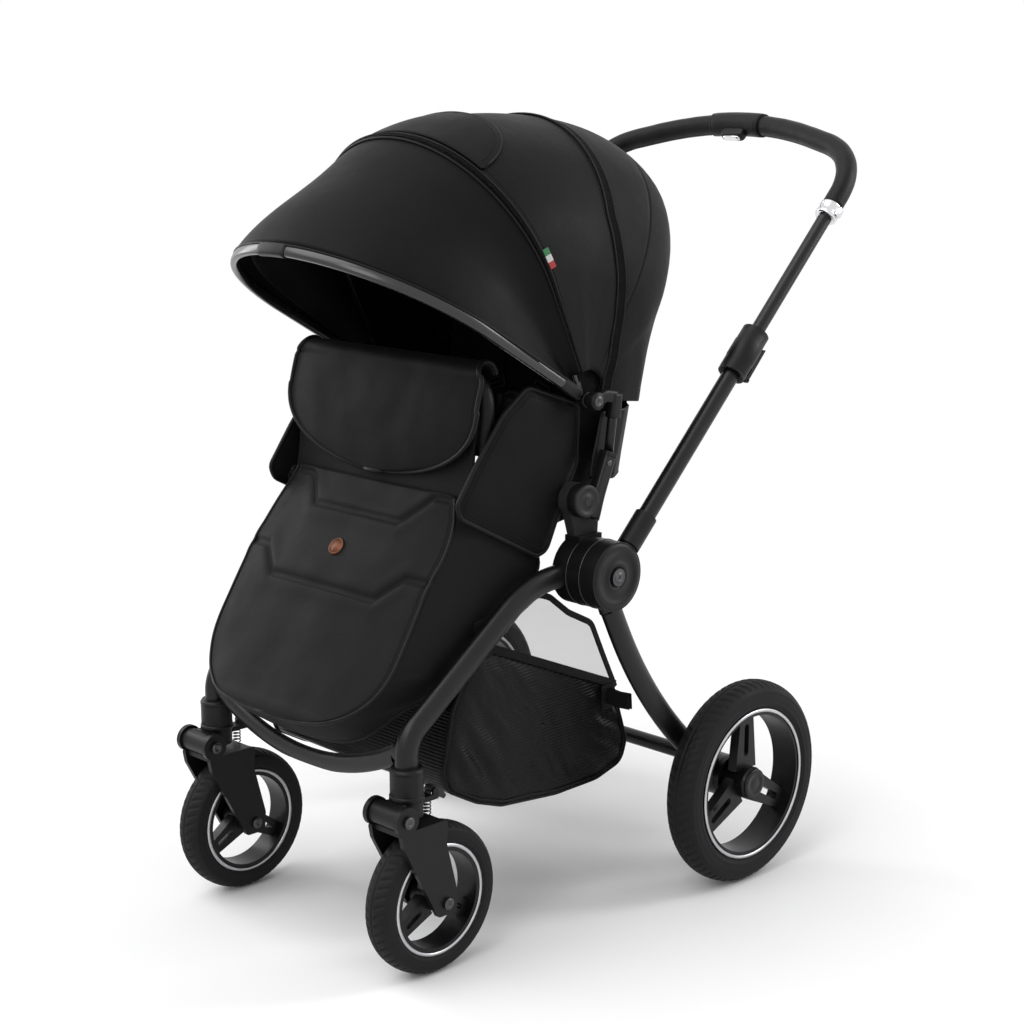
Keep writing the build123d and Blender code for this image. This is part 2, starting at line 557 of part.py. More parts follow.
# Brake pedal, a sleeve that turns on the middle of the cross bar
PEDAL_W = 56.0
PEDAL_RING_R = 16.0
PEDAL_REACH = 74.0
with BuildPart() as pedal:
    cross_rod(-PEDAL_W / 2, PEDAL_W / 2, bar_y, bar_z, PEDAL_RING_R)
    slab([(bar_y, bar_z + 12), (bar_y + 40, bar_z + 14), (bar_y + PEDAL_REACH, bar_z + 6),
          (bar_y + PEDAL_REACH, bar_z + 1), (bar_y + 40, bar_z + 6), (bar_y, bar_z + 2)],
         -PEDAL_W / 2 + 3, PEDAL_W / 2 - 3)
    cross_rod(-PEDAL_W / 2, PEDAL_W / 2, bar_y, bar_z, CROSS_BAR_D / 2 + SLIP, mode=Mode.SUBTRACT)
write(pedal, "brake_pedal")

# Brake pins, sliding outwards in the leg bosses into the wheel hubs' ring of holes
for side_name, side in SIDES.items():
    with BuildPart() as brake_pin:
        ends = sorted((side * (AXLE_BOSS_IN_X - 6), side * boss_out_x))
        cross_rod(ends[0], ends[1], REAR_AXLE_Y, pin_z, PIN_R)
    write(brake_pin, f"brake_pin_{side_name}")

# --------------------------------------------------------------------------- handle
handle_dir = Vector(0, cos(radians(HANDLE_ANGLE)), sin(radians(HANDLE_ANGLE)))
handle_up = Vector(0, -handle_dir.Z, handle_dir.Y)
handle_frame = Plane(origin=(0, HUB_Y, HUB_Z), x_dir=(1, 0, 0), z_dir=handle_up)
SOCKET_FROM = DRUM_R + 1.5
SOCKET_TO = 100.0
TUBE_FROM = 53.0
TUBE_TO = CLAMP_AT + CLAMP_LEN / 2 - 10
UPPER_FROM = CLAMP_AT - 120
CORNER_R = 105.0
APEX_R = 500.0
CLAMP_R = 20.0
COLLAR_LEN = 22.0
WRAP_FROM = COLLAR_AT + COLLAR_LEN / 2
LEVER_BACK = 25.0
LEVER_W = 18.0
LEVER_LEN = 52.0
LUG_W = 8.0
LEVER_PIN_R = 2.0
PAD_HALF = 48.0
PAD_T = 3.0
BUTTON_W = 33.0
BUTTON_T = 11.0
BUTTON_TRAVEL = 4.0


def at_handle(along, up):
    """A (Y, Z) place in the handle's slanted frame."""
    spot = handle_frame.from_local_coords(Vector(0, along, up))
    return (spot.Y, spot.Z)


def tube_along(x, start, end, radius, mode=Mode.ADD):
    """A cylinder along the handle tubes, from one distance to another from the hub axis."""
    foot = handle_frame.from_local_coords(Vector(x, start, 0))
    with BuildSketch(Plane(origin=foot, x_dir=(1, 0, 0), z_dir=handle_dir)) as section:
        Circle(radius)
    extrude(section.sketch, amount=end - start, mode=mode)


def handle_path(start):
    """The handle's U: two straight legs, round corners and a gently bowed top."""
    with BuildLine(handle_frame, mode=Mode.PRIVATE) as path:
        FilletPolyline((HANDLE_X, start), (HANDLE_X, HANDLE_CORNER), (0, HANDLE_APEX),
                       (-HANDLE_X, HANDLE_CORNER), (-HANDLE_X, start),
                       radius=[CORNER_R, APEX_R, CORNER_R])
    return path.line


def bent_tube(path, outer_r, inner_r):
    """A round tube swept along a path inside the current part."""
    with BuildSketch(Plane(origin=path @ 0, z_dir=path % 0)) as section:
        Circle(outer_r)
        if inner_r:
            Circle(inner_r, mode=Mode.SUBTRACT)
    sweep(section.sketch, path=path)


# Handle sockets: the outermost hub discs, each with a socket for a lower tube
with BuildPart() as sockets:
    for side in SIDES.values():
        disc = sorted((side * DISC_IN_X, side * DISC_OUT_X))
        cross_rod(disc[0], disc[1], HUB_Y, HUB_Z, DRUM_R)
        tube_along(side * HANDLE_X, 0, TUBE_FROM, DISC_T / 2)
        tube_along(side * HANDLE_X, SOCKET_FROM, SOCKET_TO, SOCKET_R)
        tube_along(side * HANDLE_X, TUBE_FROM, SOCKET_TO, LOWER_TUBE_D / 2 + RUN, mode=Mode.SUBTRACT)
        cross_rod(disc[0] - SLIP, disc[1] + SLIP, HUB_Y, HUB_Z, HINGE_PIN_R + RUN, mode=Mode.SUBTRACT)
write(sockets, "handle_sockets")

with BuildPart() as lower_tubes:
    for side in SIDES.values():
        tube_along(side * HANDLE_X, TUBE_FROM, TUBE_TO, LOWER_TUBE_D / 2)
    for side in SIDES.values():
        tube_along(side * HANDLE_X, TUBE_FROM, TUBE_TO, UPPER_TUBE_D / 2 + SLIP, mode=Mode.SUBTRACT)
write(lower_tubes, "handle_lower_tubes")

# Clamps round the telescoping joints, each with a lug and pin for its lever
lug_along = CLAMP_AT - LEVER_LEN / 2
with BuildPart() as clamps:
    for side in SIDES.values():
        x = side * HANDLE_X
        tube_along(x, CLAMP_AT - CLAMP_LEN / 2, CLAMP_AT + CLAMP_LEN / 2, CLAMP_R)
        slab([at_handle(lug_along - 4.5, 0), at_handle(lug_along - 4.5, -LEVER_BACK - 1),
              at_handle(lug_along - 2, -LEVER_BACK - 4), at_handle(lug_along + 2, -LEVER_BACK - 4),
              at_handle(lug_along + 4.5, -LEVER_BACK - 1), at_handle(lug_along + 4.5, 0)],
             x - LUG_W / 2, x + LUG_W / 2)
        lug_y, lug_z = at_handle(lug_along, -LEVER_BACK)
        cross_rod(x - LEVER_W / 2 + 1, x + LEVER_W / 2 - 1, lug_y, lug_z, LEVER_PIN_R)
        tube_along(x, CLAMP_AT - CLAMP_LEN / 2, TUBE_TO, LOWER_TUBE_D / 2 + RUN, mode=Mode.SUBTRACT)
        tube_along(x, TUBE_TO, CLAMP_AT + CLAMP_LEN / 2, UPPER_TUBE_D / 2 + SLIP, mode=Mode.SUBTRACT)
write(clamps, "handle_clamps")

for side_name, side in SIDES.items():
    x = side * HANDLE_X
    with BuildPart() as lever:
        lug_y, lug_z = at_handle(lug_along, -LEVER_BACK)
        cross_rod(x - LEVER_W / 2, x + LEVER_W / 2, lug_y, lug_z, 4.5)
        slab([at_handle(lug_along, -LEVER_BACK + 3), at_handle(lug_along + LEVER_LEN, -LEVER_BACK + 3),
              at_handle(lug_along + LEVER_LEN + 3, -LEVER_BACK - 2), at_handle(lug_along, -LEVER_BACK - 3)],
             x - LEVER_W / 2, x + LEVER_W / 2)
        slab([at_handle(lug_along - 6, -LEVER_BACK + 6), at_handle(lug_along + 7, -LEVER_BACK + 6),
              at_handle(lug_along + 7, -LEVER_BACK - 6), at_handle(lug_along - 6, -LEVER_BACK - 6)],
             x - LUG_W / 2 - SLIP, x + LUG_W / 2 + SLIP, mode=Mode.SUBTRACT)
        cross_rod(x - LEVER_W / 2, x + LEVER_W / 2, lug_y, lug_z, LEVER_PIN_R + RUN, mode=Mode.SUBTRACT)
    write(lever, f"clamp_lever_{side_name}")

with BuildPart() as handle_bar:
    bent_tube(handle_path(UPPER_FROM), UPPER_TUBE_D / 2, UPPER_TUBE_D / 2 - TUBE_WALL)
write(handle_bar, "handle_bar")

with BuildPart() as wrap:
    bent_tube(handle_path(WRAP_FROM), GRIP_D / 2, UPPER_TUBE_D / 2 + 2 * RUN)
write(wrap, "grip_wrap")

with BuildPart() as collars:
    for side in SIDES.values():
        x = side * HANDLE_X
        tube_along(x, COLLAR_AT - COLLAR_LEN / 2, COLLAR_AT + COLLAR_LEN / 2, GRIP_D / 2 + 1.5)
        clip = sorted((side * (HANDLE_X + GRIP_D / 2), side * (HANDLE_X + GRIP_D / 2 + 6)))
        slab([at_handle(COLLAR_AT - 8, -6), at_handle(COLLAR_AT + 8, -6), at_handle(COLLAR_AT + 8, 6),
              at_handle(COLLAR_AT - 8, 6)], clip[0], clip[1])
        tube_along(x, COLLAR_AT - COLLAR_LEN / 2, COLLAR_AT + COLLAR_LEN / 2, UPPER_TUBE_D / 2 + RUN,
                   mode=Mode.SUBTRACT)
write(collars, "grip_collars")

# Grip pad over the middle of the wrap, with a pocket for the fold button underneath
top_arc = handle_path(WRAP_FROM).edges().sort_by(lambda edge: abs((edge @ 0.5).X))[0]
pad_share = PAD_HALF / top_arc.length
pad_path = top_arc.trim(0.5 - pad_share, 0.5 + pad_share)
apex_along = handle_frame.to_local_coords(top_arc @ 0.5).Y
housing_along = apex_along - GRIP_D / 2 - 12
with BuildPart() as pad:
    with BuildSketch(Plane(origin=pad_path @ 0, z_dir=pad_path % 0)) as section:
        Circle(GRIP_D / 2 + PAD_T)
    sweep(section.sketch, path=pad_path)
    slab([at_handle(housing_along, -BUTTON_T / 2 - 3), at_handle(apex_along - 5, -BUTTON_T / 2 - 3),
          at_handle(apex_along - 5, BUTTON_T / 2 + 3), at_handle(housing_along, BUTTON_T / 2 + 3)],
         -BUTTON_W / 2 - 5, BUTTON_W / 2 + 5)
    with BuildSketch(Plane(origin=pad_path @ 0, z_dir=pad_path % 0)) as section:
        Circle(GRIP_D / 2 + 2 * RUN)
    sweep(section.sketch, path=pad_path, mode=Mode.SUBTRACT)
    slab([at_handle(housing_along, -BUTTON_T / 2 - SLIP), at_handle(housing_along + 9, -BUTTON_T / 2 - SLIP),
          at_handle(housing_along + 9, BUTTON_T / 2 + SLIP), at_handle(housing_along, BUTTON_T / 2 + SLIP)],
         -BUTTON_W / 2 - SLIP, BUTTON_W / 2 + SLIP, mode=Mode.SUBTRACT)
write(pad, "grip_pad")

with BuildPart() as button:
    press_top = housing_along + 9 - BUTTON_TRAVEL - SLIP
    slab([at_handle(press_top - 9, -BUTTON_T / 2), at_handle(press_top, -BUTTON_T / 2),
          at_handle(press_top, BUTTON_T / 2), at_handle(press_top - 9, BUTTON_T / 2)],
         -BUTTON_W / 2, BUTTON_W / 2)
write(button, "fold_button")

# --------------------------------------------------------------------------- seat frame
KNOB_Y, KNOB_Z = at_hub(KNOB_BACK, KNOB_UP)
SEAT_ARM_OUT_X = SEAT_ARM_IN_X + SEAT_ARM_T
BACK_ARM_IN_X = SEAT_ARM_OUT_X + SLIP
BACK_ARM_OUT_X = BACK_ARM_IN_X + BACK_ARM_T
BACK_ARM_X = (BACK_ARM_IN_X + BACK_ARM_OUT_X) / 2
CANOPY_Y, CANOPY_Z = at_hub(CANOPY_BACK, CANOPY_UP)
RAIL_IN_X = 167.0
RAIL_T = 12.0
RAIL_FRONT = -147.0     # bumper bar sockets, from the hub axis
RAIL_TOP = 172.0
LINK_BACK = 5.0
LINK_UP = 78.0
PEG_R = 6.0
PEG_DEPTH = 24.0
RECLINE_PIN_R = 6.0
CANOPY_PIN_R = 4.0
SOCKET_X = RAIL_IN_X + RAIL_T / 2
PAN_TOP = 66.0
PAN_T = 6.0
PAN_FRONT = -180.0
PAN_REAR = 26.0
CUSHION_T = 30.0
LEGREST_HALF_W = 140.0

with BuildPart() as seat_sides:
    for side in SIDES.values():
        plate = sorted((side * SEAT_ARM_IN_X, side * SEAT_ARM_OUT_X))
        slab([at_hub(-22, ADAPTER_TOP + SLIP), at_hub(22, ADAPTER_TOP + SLIP), at_hub(24, LINK_UP),
              at_hub(KNOB_BACK + 20, KNOB_UP), at_hub(KNOB_BACK - 20, KNOB_UP)], plate[0], plate[1])
        cross_rod(plate[0], plate[1], KNOB_Y, KNOB_Z, KNOB_R)
        with BuildSketch(Plane.XY.offset(HUB_Z + ADAPTER_TOP + 1)):
            with Locations((side * ADAPTER_X, HUB_Y)):
                Rectangle(ADAPTER_W, ADAPTER_D)
        extrude(amount=-ADAPTER_DEPTH)
        # Recline pin, and the link to the inner rail that carries the bumper bar's socket
        pin = sorted((side * SEAT_ARM_IN_X, side * (BACK_ARM_OUT_X + 2)))
        cross_rod(pin[0], pin[1], KNOB_Y, KNOB_Z, RECLINE_PIN_R)
        link = sorted((side * RAIL_IN_X, side * SEAT_ARM_OUT_X))
        link_y, link_z = at_hub(LINK_BACK, LINK_UP)
        cross_rod(link[0], link[1], link_y, link_z, 9)
        rail = sorted((side * RAIL_IN_X, side * (RAIL_IN_X + RAIL_T)))
        slab([at_hub(LINK_BACK + 9, LINK_UP - 8), at_hub(LINK_BACK + 9, LINK_UP + 8),
              at_hub(RAIL_FRONT + 8, RAIL_TOP - 6), at_hub(RAIL_FRONT - 8, RAIL_TOP - 10),
              at_hub(RAIL_FRONT - 8, RAIL_TOP - 26), at_hub(-60, LINK_UP + 10)], rail[0], rail[1])
        # Stud that the side wing snaps onto
        stud = sorted((side * (RAIL_IN_X + RAIL_T - 1), side * (WING_IN_X - SEAT_GAP)))
        stud_y, stud_z = at_hub(WING_STUD_BACK, WING_STUD_UP)
        cross_rod(stud[0], stud[1], stud_y, stud_z, WING_STUD_R)
        with BuildSketch(Plane.XY.offset(HUB_Z + RAIL_TOP)):
            with Locations((side * SOCKET_X, HUB_Y + RAIL_FRONT)):
                Circle(PEG_R + 3)
        extrude(amount=-PEG_DEPTH - 4)
        with BuildSketch(Plane.XY.offset(HUB_Z + RAIL_TOP)):
            with Locations((side * SOCKET_X, HUB_Y + RAIL_FRONT)):
                Circle(PEG_R + RUN)
        extrude(amount=-PEG_DEPTH, mode=Mode.SUBTRACT)
write(seat_sides, "seat_sides")

# Seat pan: a flat board with side cheeks against the rails, and the legrest's hinge rod
hinge_y, hinge_z = at_hub(PAN_FRONT - 10, PAN_TOP - 5)
with BuildPart() as pan:
    slab([at_hub(PAN_FRONT, PAN_TOP - PAN_T), at_hub(PAN_REAR, PAN_TOP - PAN_T), at_hub(PAN_REAR, PAN_TOP),
          at_hub(PAN_FRONT, PAN_TOP)], -RAIL_IN_X + SLIP, RAIL_IN_X - SLIP)
    for side in SIDES.values():
        cheek = sorted((side * (RAIL_IN_X - 5), side * (RAIL_IN_X - SLIP)))
        slab([at_hub(-100, PAN_TOP - 2), at_hub(0, PAN_TOP - 2), at_hub(-5, 92), at_hub(-90, 122)],
             cheek[0], cheek[1])
        lug = sorted((side * (LEGREST_HALF_W + SLIP), side * (LEGREST_HALF_W + 9)))
        slab([at_hub(PAN_FRONT - 15, PAN_TOP - 10), at_hub(PAN_FRONT + 4, PAN_TOP - 10),
              at_hub(PAN_FRONT + 4, PAN_TOP), at_hub(PAN_FRONT - 15, PAN_TOP)], lug[0], lug[1])
    cross_rod(-LEGREST_HALF_W - 5, LEGREST_HALF_W + 5, hinge_y, hinge_z, 3.5)
write(pan, "seat_pan")

with BuildPart() as cushion:
    with BuildSketch(Plane.XY.offset(HUB_Z + PAN_TOP + SEAT_GAP)):
        with Locations((0, HUB_Y + (PAN_FRONT + PAN_REAR) / 2)):
            RectangleRounded(2 * (RAIL_IN_X - 6), PAN_REAR - PAN_FRONT, 25)
    extrude(amount=CUSHION_T)
    fillet(cushion.edges().group_by(Axis.Z)[-1], 10)
write(cushion, "seat_cushion")

LEGREST_DROP = 200.0
LEGREST_AHEAD = 62.0
LEGREST_T = 8.0
with BuildPart() as legrest:
    cross_rod(-LEGREST_HALF_W, LEGREST_HALF_W, hinge_y, hinge_z, 7)
    slab([(hinge_y - 4, hinge_z), (hinge_y + 4, hinge_z),
          (hinge_y - LEGREST_AHEAD + LEGREST_T, hinge_z - LEGREST_DROP),
          (hinge_y - LEGREST_AHEAD, hinge_z - LEGREST_DROP)], -LEGREST_HALF_W, LEGREST_HALF_W)
    cross_rod(-LEGREST_HALF_W, LEGREST_HALF_W, hinge_y, hinge_z, 3.5 + RUN, mode=Mode.SUBTRACT)
write(legrest, "legrest")

# Bumper bar: an arch whose pegs stand in the rails' sockets
BUMPER_TOP_Z = HUB_Z + 275.0
BUMPER_R = 13.0
BUMPER_CORNER_R = 40.0
bumper_y = HUB_Y + RAIL_FRONT
bumper_plane = Plane(origin=(0, bumper_y, 0), x_dir=(1, 0, 0), z_dir=(0, -1, 0))
bumper_foot = HUB_Z + RAIL_TOP + SLIP
with BuildPart() as bumper:
    with BuildLine(bumper_plane, mode=Mode.PRIVATE) as path:
        FilletPolyline((SOCKET_X, bumper_foot), (SOCKET_X, BUMPER_TOP_Z), (-SOCKET_X, BUMPER_TOP_Z),
                       (-SOCKET_X, bumper_foot), radius=BUMPER_CORNER_R)
    bent_tube(path.line, BUMPER_R, 0)
    for side in SIDES.values():
        with BuildSketch(Plane.XY.offset(bumper_foot)):
            with Locations((side * SOCKET_X, bumper_y)):
                Circle(PEG_R)
        extrude(amount=-PEG_DEPTH + 2)
write(bumper, "bumper_bar")

# Back arms: knob discs, sleeves and tubes up to the canopy joints
SLEEVE_FOOT = (6.0, 90.0)
SLEEVE_HEAD = (33.0, 158.0)
ARM_HEAD = (44.0, 240.0)
with BuildPart() as back_arms:
    for side in SIDES.values():
        plate = sorted((side * BACK_ARM_IN_X, side * BACK_ARM_OUT_X))
        foot = Vector(side * BACK_ARM_X, *at_hub(*SLEEVE_FOOT))
        head = Vector(side * BACK_ARM_X, *at_hub(*SLEEVE_HEAD))
        top = Vector(side * BACK_ARM_X, *at_hub(*ARM_HEAD))
        cross_rod(plate[0], plate[1], KNOB_Y, KNOB_Z, KNOB_R)
        with BuildSketch(Plane(origin=foot, x_dir=(1, 0, 0), z_dir=head - foot)):
            Circle(BACK_ARM_T / 2)
        extrude(amount=(head - foot).length)
        with BuildSketch(Plane(origin=head, x_dir=(1, 0, 0), z_dir=top - head)):
            Circle(BACK_ARM_T / 2 - 2.5)
        extrude(amount=(top - head).length)
        with BuildSketch(Plane(origin=head, x_dir=(1, 0, 0), z_dir=head - foot)):
            Circle(BACK_ARM_T / 2 - 2.5)
        extrude(amount=-10)
        joint = sorted((side * BACK_ARM_IN_X, side * (BACK_ARM_OUT_X - 3)))
        slab([at_hub(CANOPY_BACK - 10, CANOPY_UP - 10), at_hub(ARM_HEAD[0] + 4, CANOPY_UP - 6),
              at_hub(ARM_HEAD[0] + 4, CANOPY_UP + 9), at_hub(CANOPY_BACK - 10, CANOPY_UP + 11)],
             joint[0], joint[1])
        pin = sorted((side * (SEAT_ARM_IN_X - 4.5), side * (BACK_ARM_OUT_X - 1)))
        cross_rod(pin[0], pin[1], CANOPY_Y, CANOPY_Z, CANOPY_PIN_R)
        cross_rod(plate[0], plate[1], KNOB_Y, KNOB_Z, RECLINE_PIN_R + RUN, mode=Mode.SUBTRACT)
write(back_arms, "back_arms")

# Back board: a flat board with side ears against the sleeves
BOARD_BACK = 97.0
BOARD_UP = 104.0
BOARD_T = 6.0
BOARD_H = 345.0
BOARD_HALF_W = 180.0
PAD_HALF_W = 165.0
PAD_THICK = 30.0
back_normal = Vector(0, -cos(radians(BACK_TILT)), sin(radians(BACK_TILT)))
back_frame = Plane(origin=(0, *at_hub(BOARD_BACK, BOARD_UP)), x_dir=(1, 0, 0), z_dir=back_normal)
with BuildPart() as board:
    with BuildSketch(back_frame):
        with Locations((0, BOARD_H / 2)):
            RectangleRounded(2 * BOARD_HALF_W, BOARD_H, 40)
    extrude(amount=BOARD_T)
    for side in SIDES.values():
        ear = sorted((side * (BOARD_HALF_W - 3), side * (BACK_ARM_IN_X - SLIP)))
        slab([at_hub(20, 138), at_hub(112, 138), at_hub(122, 190), at_hub(28, 190)], ear[0], ear[1])
write(board, "back_board")

with BuildPart() as back_pad:
    with BuildSketch(back_frame.offset(BOARD_T + SEAT_GAP)):
        with Locations((0, BOARD_H / 2)):
            RectangleRounded(2 * PAD_HALF_W, BOARD_H - 8, 60)
    extrude(amount=PAD_THICK)
    fillet(back_pad.faces().sort_by(Axis.Y)[0].edges(), 10)
write(back_pad, "back_pad")

# Harness: shoulder straps with pads, lying on the back pad, and a buckle between them
STRAP_X = 52.0
STRAP_W = 25.0
STRAP_T = 2.5
with BuildPart() as harness:
    harness_plane = back_frame.offset(BOARD_T + PAD_THICK + 2 * SEAT_GAP)
    with BuildSketch(harness_plane):
        for side in SIDES.values():
            with Locations((side * STRAP_X, 175)):
                Rectangle(STRAP_W, 190)
        with Locations((0, 82)):
            Rectangle(2 * STRAP_X + STRAP_W, STRAP_W)
    extrude(amount=STRAP_T)
    with BuildSketch(harness_plane):
        for side in SIDES.values():
            with Locations((side * STRAP_X, 190)):
                RectangleRounded(STRAP_W + 14, 120, 10)
    extrude(amount=STRAP_T + 5)
    with BuildSketch(harness_plane):
        with Locations((0, 82)):
            RectangleRounded(46, 52, 12)
    extrude(amount=STRAP_T + 12)
write(harness, "harness")

# --------------------------------------------------------------------------- side wings
wing_outline = [at_hub(-88, 257), at_hub(10, 223), at_hub(7, 146), at_hub(-12, 114), at_hub(-52, 31),
                at_hub(-71, 27), at_hub(-209, 99), at_hub(-216, 117), at_hub(-177, 171), at_hub(-133, 225)]
with BuildPart() as wings:
    for side in SIDES.values():
        skin = sorted((side * WING_IN_X, side * (WING_IN_X + WING_T)))
        slab(wing_outline, skin[0], skin[1])
write(wings, "side_wings")

# --------------------------------------------------------------------------- footmuff
# A bag over the legs: a crowned D-shaped panel that leans forward towards the feet, a gusset
# round its edge, cheeks that run back under the side wings, and a sole.
PANEL_FOOT = (-387.0, -163.0)     # ends of the panel's slope, from the hub axis
PANEL_HEAD = (-197.0, 97.0)
# Right half of the panel's edge: half width, and distance up the slope
panel_edge = [(60, 1.5), (100, 8), (132, 21), (158, 40), (173, 60), (181, 82), (184, 112), (184, 160),
              (181, 218), (181, 270), (174, 322)]
PANEL_CROWN = 12.0
CROWN_INSET = 14.0
GUSSET_DEPTH = 62.0
CHEEK_T = 6.0
SOLE_HALF_W = 100.0
SHEET_HALF_W = 165.0
TONGUE_HALF_W = 150.0
muff_foot = Vector(0, *at_hub(*PANEL_FOOT))
muff_slope = (Vector(0, *at_hub(*PANEL_HEAD)) - muff_foot).normalized()
muff_out = Vector(0, -muff_slope.Z, muff_slope.Y)
panel_half_w = max(half_w for half_w, along in panel_edge)
panel_length = panel_edge[-1][1]


def muff_section(proud, inset, mouth=0.0):
    """The panel's outline, drawn in by an inset, on a plane that stands proud of the slope."""
    right = [(half_w * (1 - inset / panel_half_w), inset + along * (1 - 2 * inset / panel_length))
             for half_w, along in panel_edge]
    right[-1] = (right[-1][0], right[-1][1] + mouth)
    plane = Plane(origin=muff_foot + muff_out * proud, x_dir=(1, 0, 0), z_dir=muff_out)
    with BuildSketch(plane) as section:
        with BuildLine():
            Polyline(*right, *[(-half_w, along) for half_w, along in reversed(right)], close=True)
        make_face()
    return section.sketch


with BuildPart() as footmuff:
    loft([muff_section(PANEL_CROWN, CROWN_INSET), muff_section(0, 0), muff_section(-GUSSET_DEPTH, 0)], ruled=True)
    loft([muff_section(PANEL_CROWN - MUFF_WALL, CROWN_INSET + MUFF_WALL),
          muff_section(-MUFF_WALL / 2, MUFF_WALL, 3 * MUFF_WALL),
          muff_section(-GUSSET_DEPTH - 1, MUFF_WALL, 3 * MUFF_WALL)], ruled=True, mode=Mode.SUBTRACT)
    # Sheet from the head of the panel over the knees, and the tongue up behind the flap
    slab([at_hub(-216, 88), at_hub(-212, 94), at_hub(-188, 130), at_hub(-181, 130), at_hub(-204, 93),
          at_hub(-209, 86)], -SHEET_HALF_W, SHEET_HALF_W)
    slab([at_hub(-183, 124), at_hub(-181, 132), at_hub(-163, 247), at_hub(-160, 247), at_hub(-176, 125)],
         -TONGUE_HALF_W, TONGUE_HALF_W)
    # Sole, from the gusset's back edge to under the leg rest
    slab([at_hub(-341, -196), at_hub(-338, -203), at_hub(-240, -153), at_hub(-240, -146)],
         -SOLE_HALF_W, SOLE_HALF_W)
    for side in SIDES.values():
        cheek_out_x = WING_IN_X - SEAT_GAP
        cheek = sorted((side * (cheek_out_x - CHEEK_T), side * cheek_out_x))
        slab([at_hub(-197, 97), at_hub(-72, 36), at_hub(-60, 28), at_hub(-58, 4), at_hub(-75, -10),
              at_hub(-132, -40), at_hub(-187, -86), at_hub(-236, -132), at_hub(-262, -128),
              at_hub(-300, -90), at_hub(-222, 50)], cheek[0], cheek[1])
write(footmuff, "footmuff")

# Flap: folded over the bumper bar, with a D-shaped front sheet
FOLD_R = 20.0
FLAP_HALF_W = 187.0
bar_y, bar_z = bumper_y, BUMPER_TOP_Z
with BuildPart() as flap:
    cross_rod(-172, 172, bar_y, bar_z, FOLD_R)
    slab([(bar_y + FOLD_R, bar_z - 8), (bar_y + FOLD_R, bar_z), (bar_y, bar_z + 5), (bar_y, bar_z - 8)],
         -172, 172)
    slab([(bar_y - BUMPER_R, bar_z + 4), (bar_y - FOLD_R, bar_z), (bar_y - 27, bar_z - 14),
          at_hub(-188.5, 138), at_hub(-181, 136), (bar_y - BUMPER_R - 3, bar_z - 20)],
         -FLAP_HALF_W, FLAP_HALF_W)
    slab([(bar_y - BUMPER_R - SLIP, bar_z - 60), (bar_y + FOLD_R + 1, bar_z - 60),
          (bar_y + FOLD_R + 1, bar_z - 8), (bar_y + BUMPER_R + SLIP, bar_z - 8),
          (bar_y + BUMPER_R + SLIP, bar_z), (bar_y - BUMPER_R - SLIP, bar_z)],
         -FLAP_HALF_W, FLAP_HALF_W, mode=Mode.SUBTRACT)
    cross_rod(-FLAP_HALF_W, FLAP_HALF_W, bar_y, bar_z, BUMPER_R + SLIP, mode=Mode.SUBTRACT)
    # D outline seen from the front
    with BuildSketch(Plane(origin=(0, bar_y + 2 * FOLD_R, 0), x_dir=(1, 0, 0), z_dir=(0, -1, 0))) as outline:
        with BuildLine():
            corner = (FLAP_HALF_W, HUB_Z + 224)
            Polyline((-corner[0], corner[1]), (-172, bar_z + FOLD_R), (172, bar_z + FOLD_R), corner)
            Bezier(corner, (FLAP_HALF_W - 3, HUB_Z + 132), (60, HUB_Z + 138), (0, HUB_Z + 138))
            Bezier((0, HUB_Z + 138), (-60, HUB_Z + 138), (3 - FLAP_HALF_W, HUB_Z + 132),
                   (-corner[0], corner[1]))
        make_face()
    extrude(outline.sketch, amount=120, mode=Mode.INTERSECT)
write(flap, "footmuff_flap")

# --------------------------------------------------------------------------- canopy
# Fan of half-hoops about the canopy joints. Each station: angle from straight back,
# reach of the hoop's middle, half width, and length of its straight arms.
ARM_ROOT = 40.0
PANEL_GAP = 0.15
rear_stations = [(-8.3, 207, 204, 120), (2.7, 215, 205, 122), (16.6, 245, 206, 130), (27.8, 300, 206, 140),
                 (34.4, 354, 207, 150), (40.6, 392, 207, 158), (47.5, 407, 208, 160), (56.9, 401, 209, 160)]
mid_stations = [rear_stations[-1], (81.4, 378, 214, 162), (97.7, 374, 216, 164), (114, 377, 216, 165)]
FRONT_BOW_ANGLE = 149.7
FRONT_BOW = (417, 216, 206)
BOW_BAND = 10.4
BOW_DEPTH = 15.0
VISOR_BACK = BOW_DEPTH / 2 + 1.5
MID_BOW_R = 4.5
MID_BOW_ARM_X = 200.9
EYE_R = 11.0
FRONT_EYE_X = (205.8, 216.0)
MID_EYE_X = (199.2, 205.4)


def fan_plane(angle, shift=0.0):
    """A plane through the canopy joints, leaning back or forward by its angle."""
    turn = radians(angle)
    across = Vector(0, -sin(turn), cos(turn))
    return Plane(origin=Vector(0, CANOPY_Y, CANOPY_Z) + across * shift, x_dir=(1, 0, 0), z_dir=across)


def hoop_band(plane, reach, half_w, arm, thick, root):
    """A U-shaped band: two straight arms joined by half an ellipse."""
    inner_w, inner_reach = half_w - thick, reach - thick
    with BuildSketch(plane) as band:
        with BuildLine():
            EllipticalCenterArc((0, arm), half_w, reach - arm, start_angle=0, arc_size=180)
            Polyline((-half_w, arm), (-half_w, root), (-inner_w, root), (-inner_w, arm))
            EllipticalCenterArc((0, arm), inner_w, inner_reach - arm, start_angle=0, arc_size=180)
            Polyline((inner_w, arm), (inner_w, root), (half_w, root), (half_w, arm))
        make_face()
    return band.sketch


def panel_sections(stations, first_shift, last_shift):
    """Sections of one fabric panel, pulled back a little from its neighbours."""
    shifts = [first_shift] + [0.0] * (len(stations) - 2) + [last_shift]
    return [hoop_band(fan_plane(station[0], shift), *station[1:], CLOTH_T, ARM_ROOT)
            for station, shift in zip(stations, shifts)]


